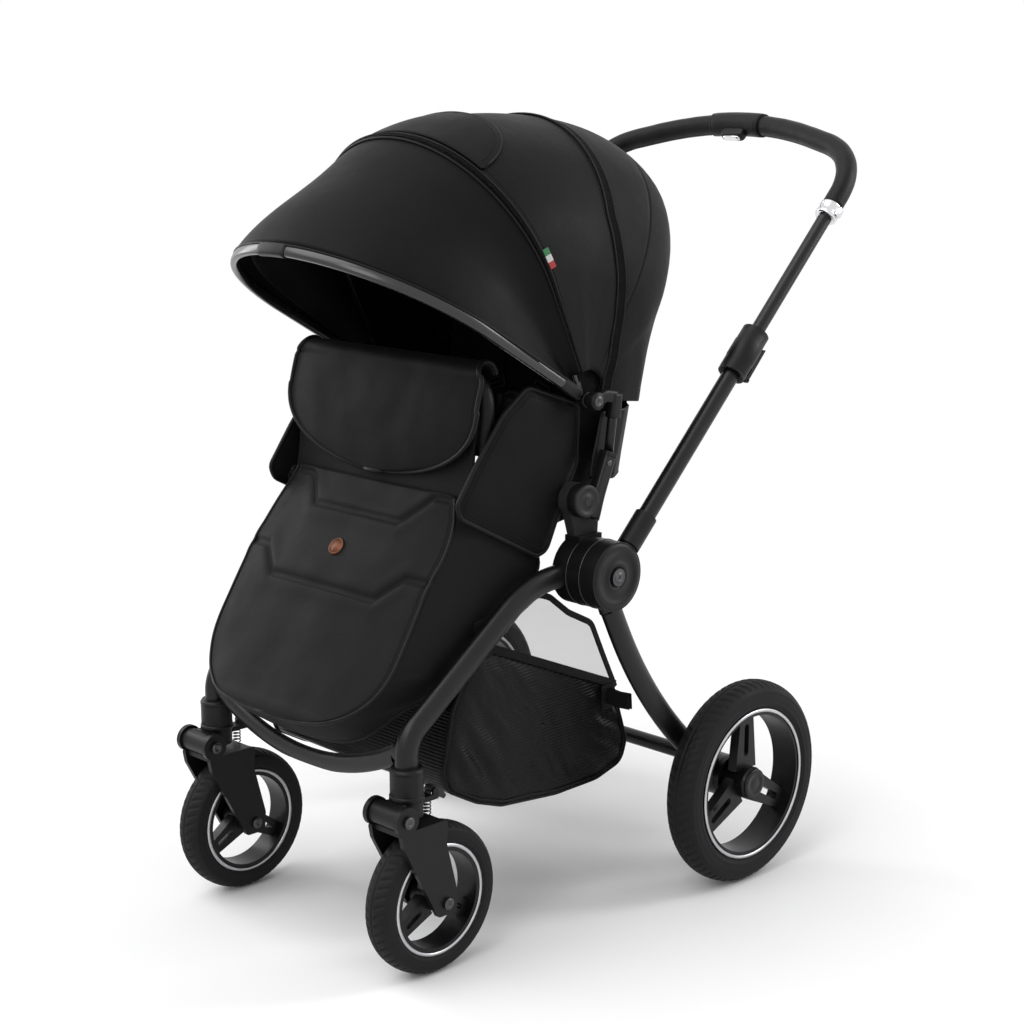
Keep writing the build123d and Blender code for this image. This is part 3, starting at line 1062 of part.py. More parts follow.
with BuildPart() as canopy_rear:
    loft(panel_sections(rear_stations, 0.0, -PANEL_GAP), ruled=True)
write(canopy_rear, "canopy_rear")

with BuildPart() as canopy_mid:
    loft(panel_sections(mid_stations, PANEL_GAP, -PANEL_GAP), ruled=True)
write(canopy_mid, "canopy_mid")

with BuildPart() as visor:
    visor_stations = [mid_stations[-1], (FRONT_BOW_ANGLE, *FRONT_BOW)]
    loft(panel_sections(visor_stations, PANEL_GAP, -VISOR_BACK), ruled=True)
write(visor, "canopy_visor")

with BuildPart() as front_bow:
    extrude(hoop_band(fan_plane(FRONT_BOW_ANGLE, -BOW_DEPTH / 2), *FRONT_BOW, BOW_BAND, EYE_R - 4),
            amount=BOW_DEPTH)
    for side in SIDES.values():
        eye = sorted((side * FRONT_EYE_X[0], side * FRONT_EYE_X[1]))
        cross_rod(eye[0], eye[1], CANOPY_Y, CANOPY_Z, EYE_R)
        cross_rod(eye[0], eye[1], CANOPY_Y, CANOPY_Z, CANOPY_PIN_R + RUN, mode=Mode.SUBTRACT)
write(front_bow, "canopy_front_bow")

mid_reach, _, mid_arm = mid_stations[-1][1:]
mid_bow_reach = mid_reach - CLOTH_T - SLIP - MID_BOW_R
mid_plane = fan_plane(mid_stations[-1][0])
with BuildPart() as mid_bow:
    with BuildLine(mid_plane, mode=Mode.PRIVATE) as path:
        Line((MID_BOW_ARM_X, EYE_R + 8), (MID_BOW_ARM_X, mid_arm))
        EllipticalCenterArc((0, mid_arm), MID_BOW_ARM_X, mid_bow_reach - mid_arm, start_angle=0,
                            arc_size=180)
        Line((-MID_BOW_ARM_X, mid_arm), (-MID_BOW_ARM_X, EYE_R + 8))
    bent_tube(path.line, MID_BOW_R, 0)
    for side in SIDES.values():
        eye = sorted((side * MID_EYE_X[0], side * MID_EYE_X[1]))
        with BuildSketch(Plane.YZ.offset(eye[0])) as blade:
            with BuildLine():
                head = mid_plane.from_local_coords(Vector(0, EYE_R + 14, 0))
                edge = mid_plane.z_dir * (MID_BOW_R - 0.5)
                Polyline((CANOPY_Y - edge.Y, CANOPY_Z - edge.Z), (CANOPY_Y + edge.Y, CANOPY_Z + edge.Z),
                         (head.Y + edge.Y, head.Z + edge.Z), (head.Y - edge.Y, head.Z - edge.Z), close=True)
            make_face()
        extrude(blade.sketch, amount=eye[1] - eye[0])
        cross_rod(eye[0], eye[1], CANOPY_Y, CANOPY_Z, EYE_R - 2)
        cross_rod(eye[0], eye[1], CANOPY_Y, CANOPY_Z, CANOPY_PIN_R + RUN, mode=Mode.SUBTRACT)
write(mid_bow, "canopy_mid_bow")

# --------------------------------------------------------------------------- basket
tub_outline = [at_hub(-235, -248), at_hub(-225, -270), at_hub(-175, -298), at_hub(-127, -315),
               at_hub(-19, -326), at_hub(63, -325), at_hub(116, -311), at_hub(126, -280)]
rim_rear, rim_front, nose = at_hub(96, -190), at_hub(-170, -78), at_hub(-215, -158)
above_rear, above_front = at_hub(81, -145), at_hub(-147, -38)
mesh_outline = [rim_front, at_hub(-61, -25), at_hub(-38, -34), at_hub(-2, -62), at_hub(45, -86),
                at_hub(70, -138), rim_rear, at_hub(90, -200), at_hub(-172, -92)]
with BuildPart() as basket:
    slab(tub_outline + [rim_rear, rim_front, nose], -BASKET_HALF_W, BASKET_HALF_W)
    with BuildSketch(Plane.YZ.offset(-BASKET_HALF_W + BASKET_WALL)) as hollow:
        with BuildLine():
            Polyline(*tub_outline, above_rear, above_front, nose, close=True)
        make_face()
        offset(amount=-BASKET_WALL, mode=Mode.REPLACE)
    extrude(hollow.sketch, amount=2 * (BASKET_HALF_W - BASKET_WALL), mode=Mode.SUBTRACT)
    for side in SIDES.values():
        skin = sorted((side * (BASKET_HALF_W - BASKET_WALL), side * BASKET_HALF_W))
        slab(mesh_outline, skin[0], skin[1])
write(basket, "basket")

# Straps from the basket's sides to the front legs and to the rear legs
STRAP_IN_X = BASKET_HALF_W + SLIP
FRONT_TAB_T = 4.6
with BuildPart() as basket_straps:
    for side in SIDES.values():
        lay = sorted((side * STRAP_IN_X, side * (STRAP_IN_X + 2)))
        slab([at_hub(-180, -100), at_hub(-152, -92), at_hub(-158, -42), at_hub(-186, -42)], lay[0], lay[1])
        tab = sorted((side * STRAP_IN_X, side * (STRAP_IN_X + FRONT_TAB_T)))
        slab([at_hub(-180, -74), at_hub(-163, -74), at_hub(-163, -60), at_hub(-180, -60)], tab[0], tab[1])
        slab([at_hub(64, -222), at_hub(90, -222), at_hub(90, -190), at_hub(64, -180)], lay[0], lay[1])
        reach = sorted((side * STRAP_IN_X, side * 233.0))
        slab([at_hub(74, -214), at_hub(82, -214), at_hub(82, -190), at_hub(74, -190)], reach[0], reach[1])
write(basket_straps, "basket_straps")
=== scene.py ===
"""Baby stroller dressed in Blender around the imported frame: soft goods, trims, finishes and studio."""
import json
import math

import bpy
import numpy as np
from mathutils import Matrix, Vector, noise
from mathutils.bvhtree import BVHTree


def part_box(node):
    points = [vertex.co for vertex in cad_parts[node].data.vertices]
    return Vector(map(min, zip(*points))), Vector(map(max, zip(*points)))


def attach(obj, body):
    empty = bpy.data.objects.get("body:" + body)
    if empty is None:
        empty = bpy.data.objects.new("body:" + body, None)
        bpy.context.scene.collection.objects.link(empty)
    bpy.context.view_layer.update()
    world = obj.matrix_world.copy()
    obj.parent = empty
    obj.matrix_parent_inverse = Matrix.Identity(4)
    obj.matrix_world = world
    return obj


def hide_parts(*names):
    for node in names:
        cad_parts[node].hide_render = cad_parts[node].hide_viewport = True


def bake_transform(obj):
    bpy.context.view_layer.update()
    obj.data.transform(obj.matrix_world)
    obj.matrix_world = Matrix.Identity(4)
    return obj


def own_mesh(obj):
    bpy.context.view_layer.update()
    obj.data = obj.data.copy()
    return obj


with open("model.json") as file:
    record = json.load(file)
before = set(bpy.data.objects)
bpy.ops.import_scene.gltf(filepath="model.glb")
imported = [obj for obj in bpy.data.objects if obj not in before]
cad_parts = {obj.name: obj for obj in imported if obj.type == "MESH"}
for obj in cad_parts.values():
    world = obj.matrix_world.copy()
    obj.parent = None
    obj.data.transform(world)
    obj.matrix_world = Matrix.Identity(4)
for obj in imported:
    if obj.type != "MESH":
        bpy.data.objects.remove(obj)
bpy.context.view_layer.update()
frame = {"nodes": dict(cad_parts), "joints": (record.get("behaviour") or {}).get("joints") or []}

MM = 0.001
JOINTS = {j["name"]: j for j in frame["joints"]}


def joint_place(name):
    return [v / MM for v in JOINTS[name]["pos_m"]]


HUB = joint_place("handle_fold")
KNOB = joint_place("recline")
HOOD = joint_place("canopy_mid_fold")
SIDES = {"left": -1, "right": 1}


def hub(x, back, up):
    """A place in mm from the hub axis: across, rearwards and upwards."""
    return (x, HUB[1] + back, HUB[2] + up)


# ----------------------------------------------------------------- materials
def material(name, color, rough, metallic=0.0, sheen=0.0, coat=0.0, specular=0.5, alpha=1.0):
    mat = bpy.data.materials.new(name)
    mat.use_nodes = True
    shader = mat.node_tree.nodes["Principled BSDF"]
    shader.inputs["Base Color"].default_value = (*color, 1)
    shader.inputs["Roughness"].default_value = rough
    shader.inputs["Metallic"].default_value = metallic
    shader.inputs["Sheen Weight"].default_value = sheen
    shader.inputs["Sheen Roughness"].default_value = 0.5
    shader.inputs["Coat Weight"].default_value = coat
    shader.inputs["Coat Roughness"].default_value = 0.15
    shader.inputs["Specular IOR Level"].default_value = specular
    shader.inputs["Alpha"].default_value = alpha
    return mat


def add_node(mat, kind, **values):
    node = mat.node_tree.nodes.new(kind)
    for key, value in values.items():
        if key in node.inputs:
            node.inputs[key].default_value = value
        else:
            setattr(node, key, value)
    return node


def link(mat, source, out, target, socket):
    mat.node_tree.links.new(source.outputs[out], target.inputs[socket])


def mottle(mat, dark, light, scale, rough_low, rough_high, detail=4.0):
    """Colour and roughness wander between two values, as on any handled surface."""
    shader = mat.node_tree.nodes["Principled BSDF"]
    place = add_node(mat, "ShaderNodeTexCoord")
    spots = add_node(mat, "ShaderNodeTexNoise", Scale=scale, Detail=detail, Roughness=0.55)
    link(mat, place, "Object", spots, "Vector")
    ramp = add_node(mat, "ShaderNodeValToRGB")
    ramp.color_ramp.elements[0].position = 0.3
    ramp.color_ramp.elements[0].color = (*dark, 1)
    ramp.color_ramp.elements[1].position = 0.7
    ramp.color_ramp.elements[1].color = (*light, 1)
    link(mat, spots, "Fac", ramp, "Fac")
    link(mat, ramp, "Color", shader, "Base Color")
    spread = add_node(mat, "ShaderNodeMapRange")
    spread.inputs["From Min"].default_value = 0.3
    spread.inputs["From Max"].default_value = 0.7
    spread.inputs["To Min"].default_value = rough_low
    spread.inputs["To Max"].default_value = rough_high
    link(mat, spots, "Fac", spread, "Value")
    link(mat, spread, "Result", shader, "Roughness")
    return place


def bump(mat, source, out, strength, distance, below=None):
    shader = mat.node_tree.nodes["Principled BSDF"]
    node = add_node(mat, "ShaderNodeBump", Strength=strength, Distance=distance)
    link(mat, source, out, node, "Height")
    if below is not None:
        link(mat, below, "Normal", node, "Normal")
    link(mat, node, "Normal", shader, "Normal")
    return node


def grain(mat, place, scale, strength, distance, below=None):
    spots = add_node(mat, "ShaderNodeTexNoise", Scale=scale, Detail=3.0, Roughness=0.6)
    link(mat, place, "Object", spots, "Vector")
    return bump(mat, spots, "Fac", strength, distance, below)


def weave(mat, place, pitch, strength, distance, directions=("X", "Z"), below=None):
    """Crossed threads: two sets of bands multiplied together."""
    bands = []
    for direction in directions:
        band = add_node(mat, "ShaderNodeTexWave", wave_type="BANDS", bands_direction=direction)
        band.inputs["Scale"].default_value = 0.314 / pitch
        band.inputs["Distortion"].default_value = 0.6
        band.inputs["Detail"].default_value = 1.0
        link(mat, place, "Object", band, "Vector")
        bands.append(band)
    height = bands[0]
    out = "Fac"
    if len(bands) == 2:
        height = add_node(mat, "ShaderNodeMath", operation="ADD")
        mat.node_tree.links.new(bands[0].outputs["Fac"], height.inputs[0])
        mat.node_tree.links.new(bands[1].outputs["Fac"], height.inputs[1])
        out = "Value"
    return bump(mat, height, out, strength, distance, below)


def leather_cells(mat, place, scale, strength, distance, below=None):
    cells = add_node(mat, "ShaderNodeTexVoronoi", Scale=scale, feature="DISTANCE_TO_EDGE")
    link(mat, place, "Object", cells, "Vector")
    return bump(mat, cells, "Distance", strength, distance, below)


shell = material("shell_fabric", (0.0056, 0.0056, 0.0061), 0.5, sheen=0.01, specular=0.08)
place = mottle(shell, (0.0043, 0.0043, 0.0048), (0.0065, 0.0065, 0.007), 18, 0.46, 0.58)
grain(shell, place, 1500, 0.25, 0.0006, grain(shell, place, 60, 0.10, 0.004))

apron = material("apron_fabric", (0.0072, 0.0072, 0.0075), 0.56, sheen=0.01, specular=0.09)
place = mottle(apron, (0.0057, 0.0057, 0.0061), (0.0081, 0.0081, 0.0084), 14, 0.52, 0.64)
grain(apron, place, 1500, 0.25, 0.0006, grain(apron, place, 45, 0.12, 0.005))

lining = material("hood_lining", (0.0045, 0.0045, 0.0048), 0.7, sheen=0.01, specular=0.06)
place = mottle(lining, (0.0032, 0.0032, 0.0036), (0.0054, 0.0054, 0.0058), 12, 0.6, 0.8)
weave(lining, place, 0.0016, 0.4, 0.0006)

padding = material("seat_fabric", (0.0077, 0.0077, 0.0084), 0.8, sheen=0.01, specular=0.08)
place = mottle(padding, (0.0067, 0.0067, 0.0071), (0.0109, 0.0109, 0.0113), 15, 0.75, 0.9)
weave(padding, place, 0.0018, 0.5, 0.0007)

ribbed = material("basket_fabric", (0.004, 0.004, 0.0043), 0.36, sheen=0.01, specular=0.12)
place = mottle(ribbed, (0.003, 0.003, 0.0033), (0.005, 0.005, 0.0053), 16, 0.3, 0.44)
weave(ribbed, place, 0.0045, 0.28, 0.0014, ("Z",), grain(ribbed, place, 35, 0.2, 0.006))

mesh_cloth = material("basket_mesh", (0.021, 0.021, 0.0217), 0.6, specular=0.12, alpha=0.24)
place = mottle(mesh_cloth, (0.0168, 0.0168, 0.0176), (0.0252, 0.0252, 0.026), 30, 0.5, 0.7)

vent_cloth = material("vent_net", (0.0035, 0.0035, 0.0038), 0.8, specular=0.08)
place = mottle(vent_cloth, (0.0028, 0.0028, 0.003), (0.0045, 0.0045, 0.0048), 40, 0.7, 0.9)
weave(vent_cloth, place, 0.0022, 0.7, 0.0010, ("Y", "Z"))

piping = material("bound_edge", (0.005, 0.005, 0.0054), 0.42, sheen=0.01, specular=0.14)
place = mottle(piping, (0.004, 0.004, 0.0045), (0.0064, 0.0064, 0.0069), 60, 0.36, 0.5)
grain(piping, place, 900, 0.4, 0.0005)

webbing = material("webbing", (0.0057, 0.0057, 0.0062), 0.55, sheen=0.01, specular=0.1)
place = mottle(webbing, (0.0047, 0.0047, 0.0052), (0.0073, 0.0073, 0.0078), 40, 0.48, 0.62)
weave(webbing, place, 0.0014, 0.7, 0.0006, ("Y", "Z"))

thread = material("thread", (0.0137, 0.0137, 0.0142), 0.55, sheen=0.01, specular=0.1)
place = mottle(thread, (0.0108, 0.0108, 0.0113), (0.0176, 0.0176, 0.0181), 200, 0.5, 0.66)

leather = material("leather", (0.0058, 0.0056, 0.0053), 0.4, specular=0.16)
place = mottle(leather, (0.0046, 0.0043, 0.0041), (0.0074, 0.0072, 0.007), 25, 0.33, 0.45)
leather_cells(leather, place, 420, 0.5, 0.0008, grain(leather, place, 70, 0.15, 0.003))

tyre = material("tyre_rubber", (0.0084, 0.0084, 0.009), 0.62, specular=0.16)
place = mottle(tyre, (0.0063, 0.0063, 0.0068), (0.0115, 0.0113, 0.0111), 22, 0.54, 0.7)
grain(tyre, place, 700, 0.3, 0.0006)

powder = material("powder_coat", (0.0042, 0.0042, 0.0046), 0.33, specular=0.3)
place = mottle(powder, (0.0035, 0.0035, 0.0039), (0.0054, 0.0054, 0.0058), 20, 0.29, 0.37)
grain(powder, place, 1100, 0.35, 0.0004)

plastic = material("moulded_plastic", (0.0046, 0.0046, 0.0049), 0.38, specular=0.22)
place = mottle(plastic, (0.0035, 0.0035, 0.0039), (0.0056, 0.0056, 0.006), 25, 0.37, 0.47)
grain(plastic, place, 800, 0.3, 0.0005)

grey = material("grey_plastic", (0.02, 0.02, 0.0208), 0.45, specular=0.25)
place = mottle(grey, (0.0168, 0.0168, 0.0176), (0.0232, 0.0232, 0.024), 25, 0.4, 0.5)
grain(grey, place, 800, 0.25, 0.0004)

gloss = material("gloss_plastic", (0.008, 0.008, 0.009), 0.27, coat=0.25, specular=0.5)
place = mottle(gloss, (0.007, 0.007, 0.008), (0.010, 0.010, 0.011), 15, 0.24, 0.32)

rim_black = material("rim_plastic", (0.0046, 0.0046, 0.005), 0.34, specular=0.24)
place = mottle(rim_black, (0.0039, 0.0039, 0.0042), (0.0058, 0.0058, 0.0062), 25, 0.28, 0.4)
grain(rim_black, place, 600, 0.15, 0.0004)

steel = material("dark_steel", (0.088, 0.088, 0.092), 0.35, metallic=1.0)
place = mottle(steel, (0.068, 0.068, 0.072), (0.104, 0.104, 0.108), 60, 0.28, 0.42)

chrome = material("chrome", (0.72, 0.72, 0.74), 0.12, metallic=1.0)
place = mottle(chrome, (0.68, 0.68, 0.7), (0.76, 0.76, 0.78), 30, 0.08, 0.18)

silver = material("silver_ring", (0.5, 0.5, 0.52), 0.32, metallic=1.0)
place = mottle(silver, (0.44, 0.44, 0.46), (0.55, 0.55, 0.57), 40, 0.26, 0.38)

copper = material("copper_badge", (0.11, 0.045, 0.026), 0.45, metallic=1.0)
place = mottle(copper, (0.09, 0.036, 0.02), (0.13, 0.055, 0.033), 300, 0.4, 0.52)

brass = material("brass", (0.6, 0.42, 0.18), 0.3, metallic=1.0)
place = mottle(brass, (0.52, 0.36, 0.15), (0.66, 0.47, 0.22), 300, 0.24, 0.36)

tag_green = material("tag_green", (0.02, 0.17, 0.05), 0.7, sheen=0.1)
tag_white = material("tag_white", (0.6, 0.6, 0.6), 0.7, sheen=0.1)
tag_red = material("tag_red", (0.35, 0.015, 0.015), 0.7, sheen=0.1)
for tag in (tag_green, tag_white, tag_red):
    base = tag.node_tree.nodes["Principled BSDF"].inputs["Base Color"].default_value[:3]
    place = mottle(tag, [c * 0.85 for c in base], base, 300, 0.62, 0.78)


# ----------------------------------------------------------------- mesh helpers
def make_mesh(name, verts_mm, faces, mat, smooth=True):
    mesh = bpy.data.meshes.new(name)
    mesh.from_pydata([tuple(float(c) * MM for c in v) for v in verts_mm], [],
                     [tuple(int(i) for i in f) for f in faces])
    mesh.validate()
    mesh.update()
    if smooth:
        mesh.polygons.foreach_set("use_smooth", [True] * len(mesh.polygons))
    for one in (mat if isinstance(mat, (list, tuple)) else [mat]):
        mesh.materials.append(one)
    piece = bpy.data.objects.new(name, mesh)
    bpy.context.scene.collection.objects.link(piece)
    return piece


def grid_faces(rows, cols, wrap_rows=False, wrap_cols=False, start=0):
    """Quads over a rows by cols grid of points."""
    faces = []
    for i in range(rows if wrap_rows else rows - 1):
        for j in range(cols if wrap_cols else cols - 1):
            a, b = i * cols + j, i * cols + (j + 1) % cols
            c, d = ((i + 1) % rows) * cols + (j + 1) % cols, ((i + 1) % rows) * cols + j
            faces.append((start + a, start + b, start + c, start + d))
    return faces


def grid_piece(name, points, mat, wrap_rows=False, wrap_cols=False, caps=False):
    rows, cols = points.shape[:2]
    verts = points.reshape(-1, 3)
    faces = grid_faces(rows, cols, wrap_rows, wrap_cols)
    if caps:
        faces.append(tuple(range(cols))[::-1])
        faces.append(tuple((rows - 1) * cols + j for j in range(cols)))
    return make_mesh(name, verts, faces, mat)


def recalc(piece):
    """Turns all faces outwards."""
    import bmesh
    work = bmesh.new()
    work.from_mesh(piece.data)
    bmesh.ops.recalc_face_normals(work, faces=work.faces)
    work.to_mesh(piece.data)
    work.free()
    return piece


def apply_modifiers(piece):
    """Bakes a piece's modifiers into its mesh."""
    bpy.context.view_layer.update()
    graph = bpy.context.evaluated_depsgraph_get()
    mesh = bpy.data.meshes.new_from_object(piece.evaluated_get(graph))
    piece.modifiers.clear()
    piece.data = mesh
    return piece


def thicken(piece, thickness, lining_slot=0, offset=-1.0):
    mod = piece.modifiers.new("thick", "SOLIDIFY")
    mod.thickness = thickness * MM
    mod.offset = offset
    mod.use_even_offset = False
    mod.material_offset = lining_slot
    return apply_modifiers(piece)


def subdivide(piece, levels=1):
    mod = piece.modifiers.new("smooth", "SUBSURF")
    mod.levels = mod.render_levels = levels
    return apply_modifiers(piece)


def join(name, pieces):
    """Several pieces of mesh as one object."""
    verts, faces, slots, mats = [], [], [], []
    for piece in pieces:
        base = len(verts)
        verts += [tuple(v.co) for v in piece.data.vertices]
        index = []
        for mat in piece.data.materials:
            if mat not in mats:
                mats.append(mat)
            index.append(mats.index(mat))
        for poly in piece.data.polygons:
            faces.append(tuple(base + i for i in poly.vertices))
            slots.append(index[poly.material_index])
    for piece in pieces:
        bpy.data.objects.remove(piece)
    mesh = bpy.data.meshes.new(name)
    mesh.from_pydata(verts, [], faces)
    for mat in mats:
        mesh.materials.append(mat)
    mesh.polygons.foreach_set("material_index", slots)
    mesh.polygons.foreach_set("use_smooth", [True] * len(faces))
    mesh.update()
    whole = bpy.data.objects.new(name, mesh)
    bpy.context.scene.collection.objects.link(whole)
    return whole


def unit(v):
    v = np.asarray(v, float)
    length = np.linalg.norm(v, axis=-1, keepdims=True)
    return v / np.maximum(length, 1e-9)


def smooth_line(points, count, closed=False):
    """Catmull-Rom curve through the points, resampled evenly."""
    pts = np.asarray(points, float)
    n = len(pts)
    dense = []
    for i in range(n if closed else n - 1):
        if closed:
            p0, p1, p2, p3 = (pts[(i + k) % n] for k in (-1, 0, 1, 2))
        else:
            p1, p2 = pts[i], pts[i + 1]
            p0 = pts[i - 1] if i > 0 else 2 * p1 - p2
            p3 = pts[i + 2] if i + 2 < n else 2 * p2 - p1
        for t in np.linspace(0, 1, 24, endpoint=False):
            dense.append(0.5 * (2 * p1 + (p2 - p0) * t + (2 * p0 - 5 * p1 + 4 * p2 - p3) * t ** 2
                                + (3 * p1 - p0 - 3 * p2 + p3) * t ** 3))
    dense.append(pts[0] if closed else pts[-1])
    return resample(np.array(dense), count, closed)


def resample(points, count, closed=False):
    steps = np.linalg.norm(np.diff(points, axis=0), axis=1)
    along = np.concatenate([[0], np.cumsum(steps)])
    wanted = np.linspace(0, along[-1], count, endpoint=not closed)
    return np.stack([np.interp(wanted, along, points[:, k]) for k in range(points.shape[1])], 1)


def fillet_line(corners, radii, step=6.0):
    """A line through corners, rounded with the given radii, in any number of dimensions."""
    pts = [np.asarray(p, float) for p in corners]
    out = [pts[0]]
    for i in range(1, len(pts) - 1):
        r = radii[i - 1] if isinstance(radii, (list, tuple)) else radii
        a, b = unit(pts[i - 1] - pts[i]), unit(pts[i + 1] - pts[i])
        half = math.acos(float(np.clip(np.dot(a, b), -1, 1))) / 2
        reach = r / math.tan(half)
        centre = pts[i] + unit(a + b) * (r / math.sin(half))
        first, last = pts[i] + a * reach, pts[i] + b * reach
        turn = math.pi - 2 * half
        n = max(3, int(r * turn / step))
        u, w = first - centre, last - centre
        for k in range(n + 1):
            t = k / n
            out.append(centre + (u * math.sin((1 - t) * turn) + w * math.sin(t * turn)) / math.sin(turn))
    out.append(pts[-1])
    line = np.array(out)
    length = np.linalg.norm(np.diff(line, axis=0), axis=1).sum()
    return resample(line, max(8, int(length / step)))


def frames_along(path, up, closed=False):
    """Tangent, side and up at each point, with as little twist as can be."""
    path = np.asarray(path, float)
    if closed:
        tangent = unit(np.roll(path, -1, 0) - np.roll(path, 1, 0))
    else:
        tangent = unit(np.gradient(path, axis=0))
    ups = np.zeros_like(path)
    current = np.asarray(up, float)
    for i, t in enumerate(tangent):
        current = unit(current - t * np.dot(current, t))
        ups[i] = current
    return tangent, unit(np.cross(tangent, ups)), ups


def sweep(name, path, profile, mat, up=(0, 0, 1), closed=False, scale=None, fixed_up=False):
    """A closed profile of (side, up) offsets carried along a path."""
    path = np.asarray(path, float)
    tangent, side, ups = frames_along(path, up, closed)
    if fixed_up:
        ups = unit(np.cross(side, tangent))
    profile = np.asarray(profile, float)
    size = np.ones(len(path)) if scale is None else np.asarray(scale, float)
    points = path[:, None, :] + size[:, None, None] * (
        side[:, None, :] * profile[None, :, :1] + ups[:, None, :] * profile[None, :, 1:])
    piece = grid_piece(name, points, mat, wrap_rows=closed, wrap_cols=True, caps=not closed)
    return recalc(piece)


def ring_profile(width, height=None, count=12, power=2.0):
    """A round, oval or squarish closed profile."""
    height = width if height is None else height
    angle = np.linspace(0, 2 * math.pi, count, endpoint=False)
    c, s = np.cos(angle), np.sin(angle)
    return np.stack([width / 2 * np.sign(c) * abs(c) ** (2 / power),
                     height / 2 * np.sign(s) * abs(s) ** (2 / power)], 1)


def tube(name, path, diameter, mat, count=10, closed=False, rounded=True):
    path = np.asarray(path, float)
    scale = None
    if rounded and not closed:
        scale = np.ones(len(path))
        scale[0] = scale[-1] = 0.55
    up = (0.31, 0.17, 0.93)
    return sweep(name, path, ring_profile(diameter, count=count), mat, up=up, closed=closed, scale=scale)


def lathe(name, profile, centre, mat, segments=72, axis="X", wrap=True):
    """A profile of (radius, along) pairs turned about an axis through the centre."""
    prof = np.asarray(profile, float)
    angle = np.linspace(0, 2 * math.pi, segments, endpoint=False)
    r, a = prof[:, 0][None, :], prof[:, 1][None, :]
    c, s = np.cos(angle)[:, None], np.sin(angle)[:, None]
    flat = np.broadcast_to(a, (segments, len(prof)))
    if axis == "X":
        points = np.stack([flat, r * c, r * s], 2)
    elif axis == "Y":
        points = np.stack([r * s, flat, r * c], 2)
    else:
        points = np.stack([r * c, r * s, flat], 2)
    piece = grid_piece(name, points + np.asarray(centre, float), mat, wrap_rows=True, wrap_cols=wrap)
    return recalc(piece)


def solid_lathe(name, profile, centre, mat, segments=48, direction=(1, 0, 0)):
    """A profile from axis to axis, turned about any direction: a closed solid."""
    prof = np.asarray(profile, float)
    d = unit(direction)
    side = unit(np.cross(d, (0.13, 0.91, 0.39)))
    up = np.cross(d, side)
    angle = np.linspace(0, 2 * math.pi, segments, endpoint=False)
    ring = np.cos(angle)[:, None] * side + np.sin(angle)[:, None] * up
    points = np.asarray(centre, float) + prof[:, 1][:, None, None] * d + prof[:, 0][:, None, None] * ring
    return recalc(grid_piece(name, points, mat, wrap_cols=True, caps=True))


def rounded_box(name, size, centre, axes, mat, power=5.0, rows=10, cols=28):
    """A box with soft edges: a squarish ball stretched along three axes."""
    ax = [np.asarray(a, float) for a in axes]
    lat = np.linspace(-math.pi / 2, math.pi / 2, rows + 2)[1:-1]
    lon = np.linspace(0, 2 * math.pi, cols, endpoint=False)

    def soft(v):
        return np.sign(v) * abs(v) ** (2 / power)

    cl, sl = soft(np.cos(lat))[:, None], soft(np.sin(lat))[:, None]
    co, so = soft(np.cos(lon))[None, :], soft(np.sin(lon))[None, :]
    parts = (cl * co * size[0] / 2, cl * so * size[1] / 2, sl * np.ones_like(co) * size[2] / 2)
    points = sum(p[..., None] * a for p, a in zip(parts, ax)) + np.asarray(centre, float)
    return recalc(grid_piece(name, points, mat, wrap_cols=True, caps=True))


def stitches(name, path, normal, mat, pitch=4.2, length=2.9, thick=0.9):
    """A row of small raised stitches along a path."""
    path = np.asarray(path, float)
    total = np.linalg.norm(np.diff(path, axis=0), axis=1).sum()
    count = max(2, int(total / pitch))
    line = resample(path, count * 2 + 1)
    normals = resample(np.asarray(normal, float), count * 2 + 1) if len(np.shape(normal)) == 2 else \
        np.broadcast_to(np.asarray(normal, float), (len(line), 3))
    verts, faces = [], []
    for k in range(1, len(line) - 1, 2):
        along = unit(line[k + 1] - line[k - 1])
        up = unit(normals[k] - along * np.dot(normals[k], along))
        side = np.cross(along, up)
        rings = []
        for share, fat in ((-0.5, 0.35), (-0.32, 0.9), (0, 1.0), (0.32, 0.9), (0.5, 0.35)):
            for a, b in ((1, 0), (0.4, 0.9), (-0.4, 0.9), (-1, 0), (-0.4, -0.5), (0.4, -0.5)):
                rings.append(line[k] + along * length * share
                             + (side * a + up * b) * thick / 2 * fat)
        base = len(verts)
        verts += rings
        faces += grid_faces(5, 6, wrap_cols=True, start=base)
        faces.append(tuple(base + j for j in range(6))[::-1])
        faces.append(tuple(base + 24 + j for j in range(6)))
    return make_mesh(name, verts, faces, mat)


def ride(piece, body, slot, *nodes):
    """Says what a piece moves with and hides the nodes it stands for; the slot argument is not used."""
    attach(piece, body)
    if nodes:
        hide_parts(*nodes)
    return piece


# ----------------------------------------------------------------- carried-over nodes
NODE_FINISH = {
    powder: ["front_leg_left", "front_leg_right", "front_crossbar", "rear_leg_left", "rear_leg_right",
             "rear_cross_bar", "handle_lower_tubes", "handle_bar"],
    plastic: ["hub_cores", "handle_sockets", "handle_clamps", "clamp_lever_left", "clamp_lever_right",
              "swivel_sleeves", "brake_pedal", "seat_pan", "legrest", "caster_knuckle_left",
              "caster_knuckle_right", "fork_left", "fork_right"],
    grey: ["seat_sides", "swivel_lock_left", "swivel_lock_right"],
    steel: ["hub_bolts", "rear_axles", "brake_pin_left", "brake_pin_right", "fork_spring_left",
            "fork_spring_right", "fork_bolts_left", "fork_bolts_right"],
    rim_black: ["rim_front_left", "rim_front_right", "rim_rear_left", "rim_rear_right"],
    chrome: ["grip_collars", "fold_button"],
    leather: ["bumper_bar"],
    gloss: ["canopy_mid_bow"],
}
for finish, names in NODE_FINISH.items():
    for name in names:
        node = frame["nodes"][name]
        node.data.materials.clear()
        node.data.materials.append(finish)


